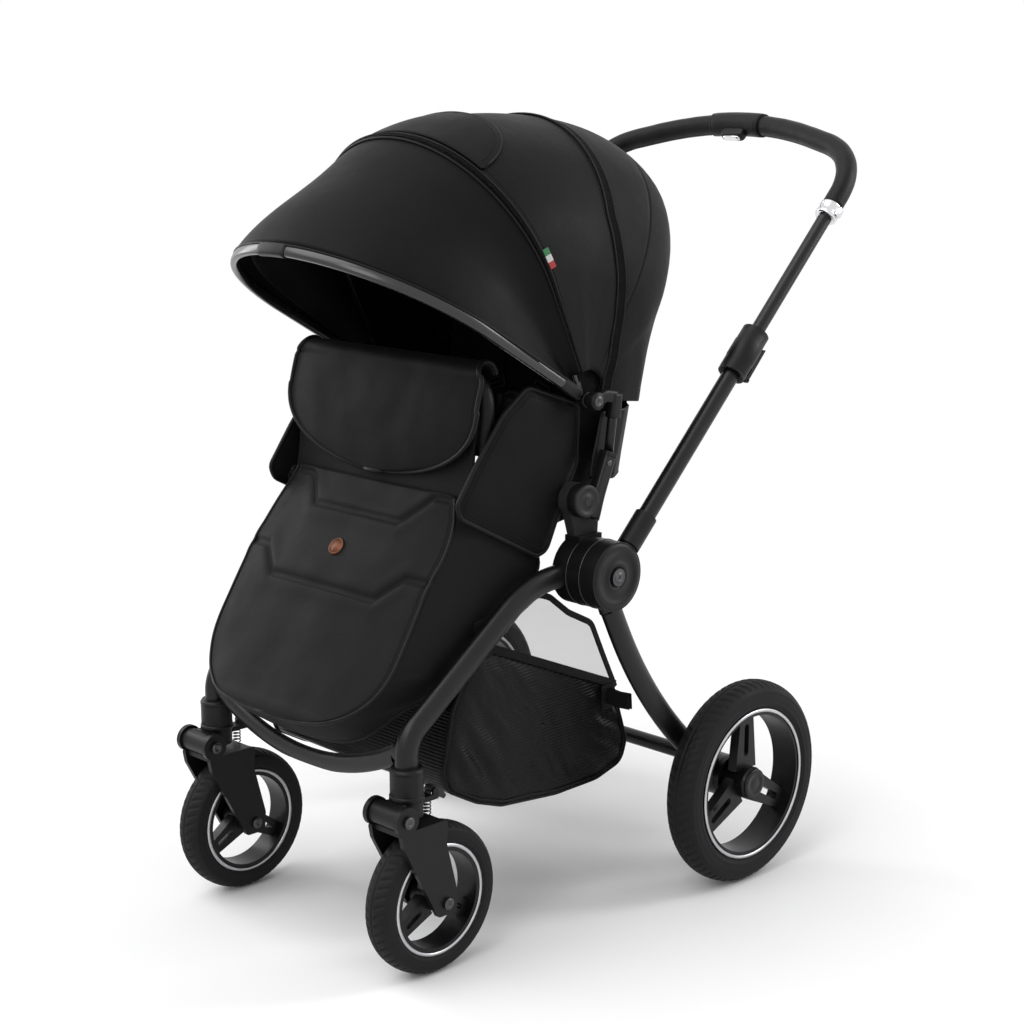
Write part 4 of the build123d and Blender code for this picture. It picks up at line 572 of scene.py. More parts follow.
# ----------------------------------------------------------------- wheels
def tyre_piece(name, centre, outer, section_w, section_h, grooves):
    """A tyre turned about X: beads, sidewall ridges, and slanting grooves cut in the tread."""
    half = section_w / 2
    bead = outer - section_h
    outline = [(bead + 0.5, 0.80), (bead + 2, 0.84), (bead + section_h * 0.12, 0.88),
               (bead + section_h * 0.22, 0.965), (bead + section_h * 0.26, 1.0),
               (bead + section_h * 0.30, 0.975),
               (bead + section_h * 0.48, 0.985), (bead + section_h * 0.62, 0.95),
               (bead + section_h * 0.66, 0.965),
               (bead + section_h * 0.70, 0.93), (bead + section_h * 0.82, 0.80),
               (bead + section_h * 0.91, 0.62),
               (bead + section_h * 0.965, 0.42), (bead + section_h * 0.992, 0.2), (outer, 0.0)]
    near = [(r, half * share) for r, share in outline]
    line = smooth_line(near + [(r, -a) for r, a in near[::-1][1:]], 64)
    closed = np.vstack([line, [(bead - 1.5, -half * 0.6)], [(bead - 1.5, half * 0.6)]])
    segments = 360
    angle = np.linspace(0, 2 * math.pi, segments, endpoint=False)[:, None]
    r = np.broadcast_to(closed[:, 0], (segments, len(closed))).copy()
    a = np.broadcast_to(closed[:, 1], (segments, len(closed))).copy()
    share = np.abs(a) / half
    slant = (angle * grooves / (2 * math.pi) + share * 0.9 + 0.5 * (a > 0)) % 1.0
    cut = np.clip((0.16 - np.abs(slant - 0.5)) / 0.06, 0, 1) * np.clip((share - 0.16) / 0.05, 0, 1) \
        * np.clip((0.83 - share) / 0.05, 0, 1) * (r > outer - section_h * 0.34)
    middle = np.clip((0.075 - share) / 0.03, 0, 1) * (r > outer - section_h * 0.2)
    r -= 2.0 * np.maximum(cut, 0.7 * middle)
    points = np.stack([a + centre[0], r * np.cos(angle) + centre[1], r * np.sin(angle) + centre[2]], 2)
    return recalc(grid_piece(name, points, tyre, wrap_rows=True, wrap_cols=True))


def box_centre(node):
    low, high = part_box(node)
    return [(a + b) / 2 / MM for a, b in zip(low, high)]


WHEELS = {"rear": dict(section=(50.6, 40.0), ring=(109.2, 22.6), grooves=66, valve=94),
          "front": dict(section=(43.6, 29.0), ring=(73.8, 18.6), grooves=52, valve=62)}
for row, spec in WHEELS.items():
    for side_name, side in SIDES.items():
        node = f"tyre_{row}_{side_name}"
        body = f"{row}_wheel_{side_name}"
        centre = box_centre(node)
        low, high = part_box(node)
        outer = (high[2] - low[2]) / 2 / MM
        piece = tyre_piece(f"{row}_tyre_{side_name}", centre, outer, *spec["section"], spec["grooves"])
        ride(piece, body, "tyre_rubber", node)
        radius, offset = spec["ring"]
        bands = []
        for face in (-1, 1):
            across = face * offset
            profile = [(radius - 2.6, across - 0.6 * face), (radius - 2.2, across + 0.9 * face),
                       (radius, across + 1.5 * face), (radius + 2.2, across + 0.9 * face),
                       (radius + 2.6, across - 0.6 * face), (radius, across - 1.2 * face)]
            bands.append(lathe(f"band{face}", profile, centre, silver, segments=120))
        ride(join(f"{row}_rim_ring_{side_name}", bands), body, "chrome_trim")
        turn = math.radians(200 if row == "rear" else 80)
        out = (0, math.cos(turn), math.sin(turn))
        foot = np.array(centre) + np.array(out) * (spec["valve"] - 12) + np.array([side * 6.0, 0, 0])
        inward = (-out[0], -out[1], -out[2])
        stem = solid_lathe("stem", [(0.2, -14), (3.4, -14), (3.4, 0), (2.6, 1), (2.6, 9), (2.2, 10),
                           (0.2, 10)], foot, brass if row == "front" else piping, 20, inward)
        cap = solid_lathe("cap", [(0.2, 7), (3.3, 7), (3.5, 8), (3.5, 15), (2.6, 17.5), (0.2, 18)],
                          foot, piping, 20, inward)
        ride(join(f"{row}_valve_{side_name}", [stem, cap]), body, "steel_dark")
        # Hub cap: a stepped dish over the outer face of the wheel's hub
        face_x = (high[0] if side > 0 else low[0]) / MM
        hub_low, hub_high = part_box(f"rim_{row}_{side_name}")
        hub_x = (hub_high[0] if side > 0 else hub_low[0]) / MM
        size = 22.0 if row == "rear" else 12.0
        step = side * min(0.6, abs(face_x - hub_x))
        dish = [(0.2, 0.4), (size * 0.30, 0.4), (size * 0.36, 0.1), (size * 0.62, 0.1), (size * 0.66, 0.5),
                (size * 0.92, 0.4), (size, -0.6), (size, -3.0), (0.2, -3.0)]
        cover = solid_lathe(f"{row}_hub_cap_{side_name}", dish, (hub_x + step * 0.1, centre[1], centre[2]),
                            rim_black, 48, (side, 0, 0))
        ride(cover, body, "rim_black")

# ----------------------------------------------------------------- hubs
for side_name, side in SIDES.items():
    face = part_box("handle_sockets")[1 if side > 0 else 0][0] / MM
    face = side * 274.7
    ringed = [(13.0, 0.2), (16.0, 1.8), (19.5, 1.8), (21.0, 0.8), (33.0, 0.8), (34.5, 1.9), (41.0, 1.9),
              (44.5, 1.0), (46.6, -1.4), (46.6, -2.2), (13.0, -2.2)]
    cover = lathe(f"hub_cover_{side_name}", [(r, side * a) for r, a in ringed],
                  (face, HUB[1], HUB[2]), plastic, segments=96)
    ride(cover, "handle_lower", "plastic_black")
    screw = solid_lathe(f"hub_screw_{side_name}",
                        [(0.2, 3.7), (2.6, 3.7), (2.6, 5.6), (5.2, 5.6), (7.2, 4.9),
                                                    (8.0, 3.6), (8.0, 3.0), (0.2, 3.0)],
                        (face, HUB[1], HUB[2]), steel, 36, (side, 0, 0))
    ride(screw, "chassis", "steel_dark")
    # Parting grooves round the drums: thin raised rings where the layers meet
    for label, across, body in (("inner", 226.15, "chassis"), ("outer", 250.0, "rear_frame")):
        ring = [(47.3, -1.1), (48.1, -0.9), (48.1, 0.9), (47.3, 1.1)]
        band = lathe(f"drum_{label}_band_{side_name}", [(r, side * a) for r, a in ring],
                     (side * (across - 1.4), HUB[1], HUB[2]), gloss, segments=96)
        ride(band, body, "plastic_black")

# ----------------------------------------------------------------- handle
HANDLE_X = 262.4
GRIP_D = 31.0
SLANT = math.radians(45)
ALONG = np.array([0, math.cos(SLANT), math.sin(SLANT)])
PROUD = np.array([0, -math.sin(SLANT), math.cos(SLANT)])
HUB_AT = np.array(HUB, float)


def handle_place(x, along, proud=0.0):
    return HUB_AT + np.array([x, 0, 0]) + ALONG * along + PROUD * proud


def handle_line(start, step=5.0):
    corners = [(HANDLE_X, start), (HANDLE_X, 761), (0, 845), (-HANDLE_X, 761), (-HANDLE_X, start)]
    flat = fillet_line(corners, [105, 500, 105], step)
    return np.array([handle_place(x, s) for x, s in flat])


grip = handle_line(663.4)
reach = np.linspace(0, 1, len(grip))
scale = 1 + 0.012 * np.sin(reach * 90) * np.sin(reach * 37)
wrap = sweep("grip_leather", grip, ring_profile(GRIP_D, count=28), leather, up=PROUD, scale=scale)
ride(wrap, "handle_upper", "leather_black", "grip_wrap")
tangent, _, ups = frames_along(grip, PROUD)
inner = np.cross(tangent, ups)
inward = inner * np.sign(np.sum(inner * (handle_place(0, 700) - grip), axis=1))[:, None]
seam_dir = unit(inward * 0.86 - ups * 0.5)
seam = grip + seam_dir * (GRIP_D / 2 + 0.1)
rows = []
for shift in (-2.4, 2.4):
    across = unit(np.cross(tangent, seam_dir))
    rows.append(stitches(f"row{shift}", seam + across * shift, seam_dir, thread, 5.0, 3.4, 1.1))
rows.append(sweep("ridge", seam - seam_dir * 0.5, ring_profile(1.8, 1.4, 8), leather, up=PROUD))
ride(join("grip_stitching", rows), "handle_upper", "leather_black")

# Centre pad: a smooth sleeve with rolled ends, and the housing of the fold button
middle = grip[np.abs(grip[:, 0]) < 49.8]
share = np.linspace(-1, 1, len(middle))
ends = 1 - 0.10 * np.clip((abs(share) - 0.9) / 0.1, 0, 1) ** 2
sleeve = sweep("sleeve", middle, ring_profile(GRIP_D + 6, count=40), leather, up=PROUD, scale=ends)
lips = [sweep(f"lip{k}", middle[k:k + 2] if k == 0 else middle[-2:], ring_profile(GRIP_D + 5.2, count=40),
              piping, up=PROUD) for k in (0, 1)]
apex = float(np.dot(middle[len(middle) // 2] - HUB_AT, ALONG))
housing = rounded_box("housing", (43, 17, 27), handle_place(0, apex - GRIP_D / 2 - 0.5),
                      [(1, 0, 0), PROUD, ALONG], plastic, 6)
ride(join("grip_centre_pad", [sleeve, *lips, housing]), "handle_upper", "leather_black", "grip_pad")
press_low, press_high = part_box("fold_button")
press_mid = np.array([(a + b) / 2 / MM for a, b in zip(press_low, press_high)])
button = rounded_box("release_button", (32, 10.4, 9), press_mid, [(1, 0, 0), PROUD, ALONG], chrome, 4.5)
ride(button, "fold_button", "chrome_trim", "fold_button")

for side_name, side in SIDES.items():
    # Collar trim and clip at the end of the wrap
    at = handle_place(side * HANDLE_X, 652)
    band = solid_lathe("band", [(10.6, -11), (15.4, -11), (16.6, -9.5), (17.0, -6), (16.3, -5), (16.3, 5),
                                (17.0, 6), (16.8, 10), (15.9, 11.2), (10.6, 11.2)], at, chrome, 48, ALONG)
    clip = rounded_box("clip", (6, 11.5, 17), at + np.array([side * 19.0, 0, 0]), [(1, 0, 0), PROUD, ALONG],
                       chrome, 4)
    ride(join(f"collar_{side_name}", [band, clip]), "handle_upper", "chrome_trim")
    # Clamp: rounded shell with a raised seam band
    at = handle_place(side * HANDLE_X, 386)
    shape = [(12.9, -38), (17.6, -38), (19.4, -36.5), (20.2, -33), (20.2, -14), (20.9, -12), (20.9, 14),
             (20.2, 16), (20.0, 30), (19.0, 35), (16.0, 37.6), (12.9, 38)]
    body = solid_lathe(f"clamp_shell_{side_name}", shape, at, plastic, 64, ALONG)
    ride(body, "handle_lower", "plastic_black")
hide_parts("grip_collars")

# ----------------------------------------------------------------- small fittings on the frame
KNOB_FACE_X = 235.3   # outer face of the recline knobs
FORK_HEAD = 7.6       # radius of the fork's bolt heads
HOOD_BOLT_X = 232.8   # outer face of the hood's joints
for side_name, side in SIDES.items():
    x = side * 202.0
    swivel = joint_place(f"caster_{side_name}_swivel")
    collar = solid_lathe(f"swivel_collar_{side_name}",
                         [(17, -1.2), (22.3, -1.2), (23.2, 0.4), (23.2, 4.6), (22.4, 6.2), (17, 6.2)],
                         (x, swivel[1], swivel[2] + 0.4), plastic, 48, (0, 0, 1))
    ride(collar, "chassis", "plastic_black")
    cap = solid_lathe(f"swivel_cap_{side_name}", [(0.2, 1.8), (9, 1.6), (17, 0.4), (21, -1.2), (22.4, -3.4),
                                                  (22.4, -6.5), (0.2, -6.5)],
                      (x, swivel[1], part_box("swivel_sleeves")[1][2] / MM - 0.3), plastic, 48, (0, 0, 1))
    ride(cap, "chassis", "plastic_black")
    pivot = joint_place(f"suspension_{side_name}")
    low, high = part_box(f"fork_bolts_{side_name}")
    axle = joint_place(f"front_wheel_{side_name}_spin")
    for label, spot in (("pivot", pivot), ("axle", axle)):
        for end, face in (("inner", low[0] / MM if side > 0 else high[0] / MM),
                          ("outer", high[0] / MM if side > 0 else low[0] / MM)):
            out = side if end == "outer" else -side
            head = solid_lathe(f"fork_{label}_head_{end}_{side_name}",
                               [(0.2, 0.2), (2.4, 0.2), (2.6, 1.6), (5.4, 1.6), (FORK_HEAD - 0.8, 1.1),
                                (FORK_HEAD, 0.1), (FORK_HEAD, -1.2), (0.2, -1.2)],
                               (face - out * 0.6, spot[1], spot[2]), steel, 32, (out, 0, 0))
            ride(head, f"fork_{side_name}", "steel_dark")
    # Recline knob faces: a lighter disc in a grooved rim
    disc = solid_lathe(f"knob_face_{side_name}",
                       [(0.2, 1.2), (9, 1.2), (10, 0.5), (15.5, 0.5), (16.5, 1.7), (20.5, 1.6), (22.4, 0.2),
                        (22.4, -1.6), (0.2, -1.6)],
                       (side * KNOB_FACE_X, KNOB[1], KNOB[2]), grey, 64, (side, 0, 0))
    ride(disc, "backrest", "plastic_grey")
    # Hood joint bolt
    bolt = solid_lathe(f"hood_bolt_{side_name}",
                       [(0.2, 2.2), (2.4, 2.2), (2.6, 3.4), (5.6, 3.2), (7.6, 2.2), (8.2, 0.6), (8.2, -2),
                       (0.2, -2)], (side * HOOD_BOLT_X, HOOD[1], HOOD[2]), steel, 36, (side, 0, 0))
    ride(bolt, "backrest", "steel_dark")


# ----------------------------------------------------------------- hood
# Hoops of the hood about its joints: angle, reach of the middle, half width, straight arms
HOOPS = [(-8.3, 207, 204, 120), (2.7, 215, 205, 122), (16.6, 245, 206, 130), (27.8, 300, 206, 140),
         (34.4, 354, 207, 150), (40.6, 392, 207, 158), (47.5, 407, 208, 160), (56.9, 401, 209, 160),
         (81.4, 378, 214, 162), (97.7, 374, 216, 164), (114, 377, 216, 165)]
VISOR_HOOPS = [(114, 377, 216, 165), (132, 396, 216, 185), (149.7, 417, 216, 206)]
ARM_ROOT = 40.0
HOOD_SEAM = 55.9
SECOND_BOW = 114.0
FRONT_BOW = 149.7
BOW_BACK = 1.3     # degrees the visor's hem stays behind the front bow's middle


def shaped(xs, ys, x):
    """Smooth value through the points, without overshoot."""
    xs, ys = np.asarray(xs, float), np.asarray(ys, float)
    cut = np.diff(ys) / np.diff(xs)
    slope = np.concatenate([[cut[0]], (cut[1:] + cut[:-1]) / 2, [cut[-1]]])
    slope[1:-1] = np.where(cut[1:] * cut[:-1] <= 0, 0, slope[1:-1])
    x = np.clip(x, xs[0], xs[-1])
    i = np.clip(np.searchsorted(xs, x) - 1, 0, len(xs) - 2)
    h = xs[i + 1] - xs[i]
    t = (x - xs[i]) / h
    return ((1 + 2 * t) * (1 - t) ** 2 * ys[i] + t * (1 - t) ** 2 * h * slope[i]
            + t * t * (3 - 2 * t) * ys[i + 1] + t * t * (t - 1) * h * slope[i + 1])


def hoop_at(angle):
    table = HOOPS if angle <= SECOND_BOW else VISOR_HOOPS
    columns = list(zip(*table))
    return [float(shaped(columns[0], column, angle)) for column in columns[1:]]


def fan(angle, x, rho):
    """A place on the plane that leans by an angle about the hood's joints."""
    turn = math.radians(angle)
    return np.stack([x, HOOD[1] + rho * math.cos(turn), HOOD[2] + rho * math.sin(turn)], -1)


def hood_row(angle, count=97, lift=0.0, root=ARM_ROOT):
    """Points and outward directions of one hoop, arm to arm over the top."""
    reach, half_w, arm = hoop_at(angle)
    turn = np.linspace(0, math.pi, 90)
    flat = np.vstack([[(half_w, r) for r in np.linspace(root, arm, 20)[:-1]],
                      np.stack([half_w * np.cos(turn), arm + (reach - arm) * np.sin(turn)], 1),
                      [(-half_w, r) for r in np.linspace(arm, root, 20)[1:]]])
    flat = resample(flat, count)
    x, rho = flat[:, 0], flat[:, 1]
    out = np.stack([x / half_w ** 2, np.maximum(rho - arm, 0) / (reach - arm) ** 2], 1)
    out = unit(out)
    lift = np.broadcast_to(lift, (count,))
    flat = flat + out * lift[:, None]
    turned = math.radians(angle)
    direction = np.stack([out[:, 0], out[:, 1] * math.cos(turned), out[:, 1] * math.sin(turned)], 1)
    return fan(angle, flat[:, 0], flat[:, 1]), direction


def hood_panel(name, angles, lift_of, mats, thickness=2.4, count=121, root=ARM_ROOT):
    """Fabric between two hoops; lift_of gives how far each point stands off."""
    share = np.linspace(0, 1, len(angles))
    across = np.linspace(-1, 1, count)
    rows = [hood_row(a, count, lift_of(t, across), root)[0] for a, t in zip(angles, share)]
    piece = grid_piece(name, np.array(rows), mats[0])
    for mat in mats[1:]:
        piece.data.materials.append(mat)
    recalc(piece)
    centre = np.array([0, HOOD[1] - 60, HOOD[2] + 150])
    face = piece.data.polygons[len(piece.data.polygons) // 2]
    if np.dot(np.array(face.center) / MM - centre, face.normal) < 0:
        piece.data.flip_normals()
    return thicken(piece, thickness, 1 if len(mats) > 1 else 0)


def side_folds(seed, depth, sides=2.2):
    """Soft folds that fan out from the joints and die away over the top."""
    def lift(t, across):
        low = np.clip((np.abs(across) - 0.35) / 0.65, 0, 1)
        waves = np.array([noise.noise(Vector((t * sides + seed, math.copysign(3.0, a) + a * 0.6,
                                              seed))) for a in across])
        ripple = np.array([noise.noise(Vector((t * 7 + seed, a * 2.4, seed + 4))) for a in across])
        return (depth * waves * low + 0.35 * depth * ripple * low) * math.sin(math.pi * t) ** 0.6
    return lift


def sagging(depth, folds, early=1.0):
    def lift(t, across):
        return folds(t, across) - depth * math.sin(math.pi * t ** early) ** 1.5
    return lift


def drawn_in(depth, folds):
    """The rear panel's lower half hangs nearer to the back board than its hoops."""
    def lift(t, across):
        fade = np.clip((1.0 - t) / 0.6, 0, 1)
        sides = np.clip((0.93 - np.abs(across)) / 0.3, 0, 1)
        return folds(t, across) - depth * (fade * fade * (3 - 2 * fade)) * sides * sides * (3 - 2 * sides)
    return lift


VISOR_SAG = 13.0
VISOR_EARLY = 0.8


hood_start = fan(62, 0, 300.0) * MM
hood_second = fan(111, 0, 300.0) * MM
visor_start = fan(118, 0, 300.0) * MM
visor_end = fan(146, 0, 300.0) * MM


def bend(piece, a, b, start, end, slot, *nodes):
    if nodes:
        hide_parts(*nodes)
    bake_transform(piece)
    return piece


rear_lift = drawn_in(14.0, side_folds(3.1, 2.6))
mid_lift = sagging(3.0, side_folds(7.7, 2.8))
rear = hood_panel("hood_rear", np.linspace(-8.3, HOOD_SEAM, 40), rear_lift, [shell, lining])
ride(rear, "backrest", "shell_fabric", "canopy_rear")
mid = hood_panel("hood_middle", np.linspace(HOOD_SEAM, SECOND_BOW - 0.2, 44), mid_lift, [shell, lining])
bend(mid, "backrest", "canopy_middle", hood_start, hood_second, "shell_fabric", "canopy_mid")
visor = hood_panel("hood_visor", np.linspace(SECOND_BOW + 0.2, FRONT_BOW - BOW_BACK, 40),
                   sagging(VISOR_SAG, side_folds(12.3, 2.6), VISOR_EARLY), [shell, lining])
bend(visor, "canopy_middle", "canopy_front", visor_start, visor_end, "shell_fabric", "canopy_visor")

# Vent: a dark net band between bound edges, from the top of the hood down to its hem on both sides
VENT_RUN = [(0, 75), (0.53, 75), (0.60, 73), (0.667, 70), (0.733, 65.5), (0.825, 58), (0.91, 47),
            (0.956, 31), (0.985, 12), (1.0, 0)]


def vent_line(count=161):
    """Centre line of the vent on the hood's fabric, with the outward directions."""
    places, outs = [], []
    for i, across in enumerate(np.linspace(-1, 1, count)):
        angle = float(shaped(*zip(*VENT_RUN), abs(across)))
        if angle > HOOD_SEAM:
            stand_off = mid_lift((angle - HOOD_SEAM) / (SECOND_BOW - HOOD_SEAM), np.array([across]))[0]
        else:
            stand_off = rear_lift((angle + 8.3) / (HOOD_SEAM + 8.3), np.array([across]))[0]
        row, out = hood_row(angle, count, stand_off)
        places.append(row[i])
        outs.append(out[i])
    return np.array(places), np.array(outs)


vent_at, vent_out = vent_line()
vent_side = unit(np.cross(np.gradient(vent_at, axis=0), vent_out))
NET_HALF = 7.5        # half width of the vent's net
VENT_EDGE = 8.2       # its bound edges and the rows of stitches, from the vent's centre line
VENT_STITCHES = 12.5
net = grid_piece("hood_vent_net", np.array([vent_at + vent_side * across + vent_out * 0.9
                                            for across in np.linspace(-NET_HALF, NET_HALF, 7)]), vent_cloth)
recalc(net)
bend(thicken(net, 0.8, 0, 0.0), "backrest", "canopy_middle", hood_start, hood_second, "basket_fabric")
edges, sewn = [], []
for side in SIDES.values():
    edges.append(tube("vent_edge", vent_at + vent_side * side * VENT_EDGE + vent_out * 1.0, 3.0, piping, 10))
    sewn.append(stitches("vent_row", vent_at + vent_side * side * VENT_STITCHES + vent_out * 0.3, vent_out,
                         thread, 4.6, 3.2, 0.9))
bend(join("hood_vent_binding", edges + sewn), "backrest", "canopy_middle", hood_start, hood_second,
     "shell_fabric")


def hoop_tube(name, angle, lift, diameter, mat, root=ARM_ROOT, count=150):
    return tube(name, hood_row(angle, count, lift, root)[0], diameter, mat, 10)


# Inner cloth about the joints, between the arms and the linings: a sector that ripples a little
CORNER_X = 201.2
CORNER_ANGLES = np.linspace(-8, 146, 60)
CORNER_REACH = np.linspace(5, 66, 14)
for side_name, side in SIDES.items():
    rows = [[fan(angle, side * (CORNER_X + 0.5 * math.sin(rho * 0.3 + angle * 0.2)), rho)
             for angle in CORNER_ANGLES] for rho in CORNER_REACH]
    corner = recalc(grid_piece(f"hood_corner_{side_name}", np.array(rows), lining))
    ride(thicken(corner, 1.2), "backrest", "lining_fabric")

# Second bow: two rows of piping with a zip between them
seams = [hoop_tube("bow_a", SECOND_BOW - 1.15, 0.7, 3.4, piping),
         hoop_tube("bow_b", SECOND_BOW + 1.25, 0.5, 3.4, piping)]
line, out = hood_row(SECOND_BOW, 240, 0.9)
seams.append(sweep("zip_tape", line, ring_profile(9.0, 1.2, 8), webbing, up=(0, 0, 1)))
ride(join("hood_second_seam", seams), "canopy_middle", "shell_fabric")
line, out = hood_row(SECOND_BOW, 900, 1.7)
ride(stitches("hood_zip_teeth", line[60:-60], out[60:-60], gloss, 3.2, 1.7, 2.0), "canopy_middle",
     "bow_gloss")

# Stitching beside the second bow
line, out = hood_row(SECOND_BOW - 3.0, 400, 0.2)
ride(stitches("hood_stitch_second", line, out, thread, 4.6, 3.2, 0.9), "canopy_middle", "shell_fabric")

# Window flap on the middle panel: rounded at the back, free edge stitched
WINDOW_HALF = 138.0
WINDOW = (96.5, 112.2)


def window_row(share, inset=0.0):
    """Angle range of the flap at a share of its half width."""
    rounding = (1 - min(1.0, abs(share)) ** 4.0) ** 0.5
    back = WINDOW[1] - (WINDOW[1] - WINDOW[0]) * rounding
    return back + inset, WINDOW[1]


def on_hood(angle, x, lift):
    reach, half_w, arm = hoop_at(angle)
    rise = math.sqrt(max(0.0, 1 - (x / half_w) ** 2))
    normal = unit([x / half_w ** 2, (reach - arm) * rise / (reach - arm) ** 2])
    return fan(angle, x + normal[0] * lift, arm + (reach - arm) * rise + normal[1] * lift)


grid = []
for share in np.sin(np.linspace(-math.pi / 2, math.pi / 2, 61)) * 0.999:
    low, high = window_row(share)
    row = []
    for k, t in enumerate(np.linspace(0, 1, 22)):
        lift = 3.0 + 0.6 * math.sin(3 * share + 5 * t) if 0 < k else 2.4
        row.append(on_hood(low + (high - low) * t, share * WINDOW_HALF, lift))
    grid.append(row)
flap = grid_piece("window_flap", np.array(grid), shell)
recalc(flap)
if flap.data.polygons[600].normal.z < 0:
    flap.data.flip_normals()
thicken(flap, 2.2)
edge = np.array([on_hood(window_row(s)[0], s * WINDOW_HALF, 2.2)
                 for s in np.sin(np.linspace(-math.pi / 2, math.pi / 2, 90)) * 0.995])
edge = resample(edge, 110)
hem = tube("window_hem", edge, 2.6, piping, 10)
inner = np.array([on_hood(min(window_row(s)[0] + 1.1, WINDOW[1] - 0.3), s * (WINDOW_HALF - 6), 3.4)
                  for s in np.sin(np.linspace(-math.pi / 2, math.pi / 2, 90)) * 0.99])
sewn = stitches("window_stitch", resample(inner, 160), (0, 0.3, 1), thread, 4.4, 3.0, 1.0)
bend(join("hood_window_flap", [flap, hem, sewn]), "backrest", "canopy_middle", hood_start, hood_second,
     "shell_fabric")

# Inner lining, hanging a little loose in gathers under the shell
for name, span, bodies, start, end, seed in (
        ("hood_lining_middle", (62, 112.5), ("backrest", "canopy_middle"), hood_start, hood_second, 21.0),
        ("hood_lining_visor", (115.5, 146.2), ("canopy_middle", "canopy_front"), visor_start, visor_end,
         33.0)):
    drop = VISOR_SAG if name == "hood_lining_visor" else 0.0

    def loose(t, across, seed=seed, drop=drop):
        folds = np.array([noise.noise(Vector((a * 9, t * 2.2 + seed, seed))) for a in across])
        slack = math.sin(math.pi * t) ** 0.7
        return -15.0 - drop * math.sin(math.pi * t ** VISOR_EARLY) ** 1.5 - 4.0 * slack * (0.8 + 1.3 * folds) * (
            np.abs(across) < 0.8)
    angles = np.linspace(*span, 34)
    sheet = hood_panel(name, angles, loose, [lining], 1.0, 141, root=60)
    bend(sheet, *bodies, start, end, "lining_fabric")

# Front bow: a rounded glossy rim, its end brackets and the plain clip over its middle
BOW_BAND, BOW_DEPTH = 10.4, 15.0
path, out = hood_row(FRONT_BOW, 180, -BOW_BAND / 2, root=16)
plane_normal = np.array([0, -math.sin(math.radians(FRONT_BOW)), math.cos(math.radians(FRONT_BOW))])
along = np.linspace(-1, 1, len(path))
profile = ring_profile(BOW_BAND, BOW_DEPTH, 28, 2.7)
rim = sweep("rim", path, profile, gloss, up=plane_normal)
lip, _ = hood_row(FRONT_BOW, 180, -0.9, root=30)
lip = sweep("lip", lip + plane_normal * (-BOW_DEPTH / 2 + 0.8), ring_profile(2.6, 3.0, 10), piping,
            up=plane_normal)
clip_path = path[np.abs(path[:, 0]) < 31]
clip = sweep("clip", clip_path, ring_profile(BOW_BAND + 2.2, BOW_DEPTH + 2.2, 28, 4), plastic,
             up=plane_normal)
parts = [rim, lip, clip]
for side in SIDES.values():
    foot = np.array([side * 210.8, *fan(FRONT_BOW, 0.0, 0.0)[1:]])
    turn = math.radians(FRONT_BOW)
    reach_dir = np.array([0, math.cos(turn), math.sin(turn)])
    parts.append(rounded_box("bracket", (11.4, 17, 44), foot + reach_dir * 36,
                             [(1, 0, 0), plane_normal, reach_dir], plastic, 5))
    parts.append(solid_lathe("eye", [(0.2, -5.1), (10.2, -5.1), (11.0, -4.2), (11.0, 4.2), (10.2, 5.1),
                             (0.2, 5.1)], foot, plastic, 48))
ride(join("hood_front_bow", parts), "canopy_front", "bow_gloss", "canopy_front_bow")

# Small striped tag in the second seam
TAG_SHARE = 0.18
line, out = hood_row(SECOND_BOW - 1.6, 200, 1.2)
spot = int(TAG_SHARE * 200)
down = unit(line[spot - 6] - line[spot + 6])
across = unit(fan(SECOND_BOW - 9, line[spot][0], 330.0) - fan(SECOND_BOW, line[spot][0], 330.0))
face = unit(np.cross(down, across))
if np.dot(face, out[spot]) < 0:
    face = -face
parts = []
for k, mat in enumerate((tag_green, tag_white, tag_red)):
    parts.append(rounded_box(f"stripe{k}", (9.3, 10.5, 1.3), line[spot] + across * 4.2 + down * (k - 1) * 9.2
                             + face * 0.9, [down, across, face], mat, 12, 8, 24))
ride(join("hood_side_tag", parts), "canopy_middle", "webbing")


# ----------------------------------------------------------------- footmuff
# Edge of the front panel: height from the hub axis with its half width, and with its place rearwards
PANEL_WIDTH = [(-163, 0), (-162.3, 40), (-160, 72), (-156, 102), (-150, 124), (-141, 144), (-124, 165),
               (-98, 180), (-53, 184), (13, 182), (55, 181), (86, 174), (104, 166), (120, 160)]
PANEL_EDGE = [(-163, -388), (-159, -386), (-153, -380), (-146, -371), (-124, -350), (-98, -331), (-53, -302),
              (13, -260), (55, -227), (86, -206), (104, -196), (130, -184)]
CROWN = 13.0
CHEVRONS = [[(153, 115), (126, 114), (86, 76), (-86, 76), (-126, 114), (-153, 115)],
            [(177, 19), (142, 18), (106, -14), (-106, -14), (-142, 18), (-177, 19)]]


def panel_width(up):
    return float(shaped(*zip(*PANEL_WIDTH), up))


def panel_edge_at(up):
    return float(shaped(*zip(*PANEL_EDGE), up))


def to_segments(x, up, corners):
    """Distance in the front view from a point to a line of corners."""
    best = 1e9
    p = np.array([x, up])
    for a, b in zip(corners[:-1], corners[1:]):
        a, b = np.array(a, float), np.array(b, float)
        t = np.clip(np.dot(p - a, b - a) / np.dot(b - a, b - a), 0, 1)
        best = min(best, float(np.linalg.norm(p - a - (b - a) * t)))
    return best


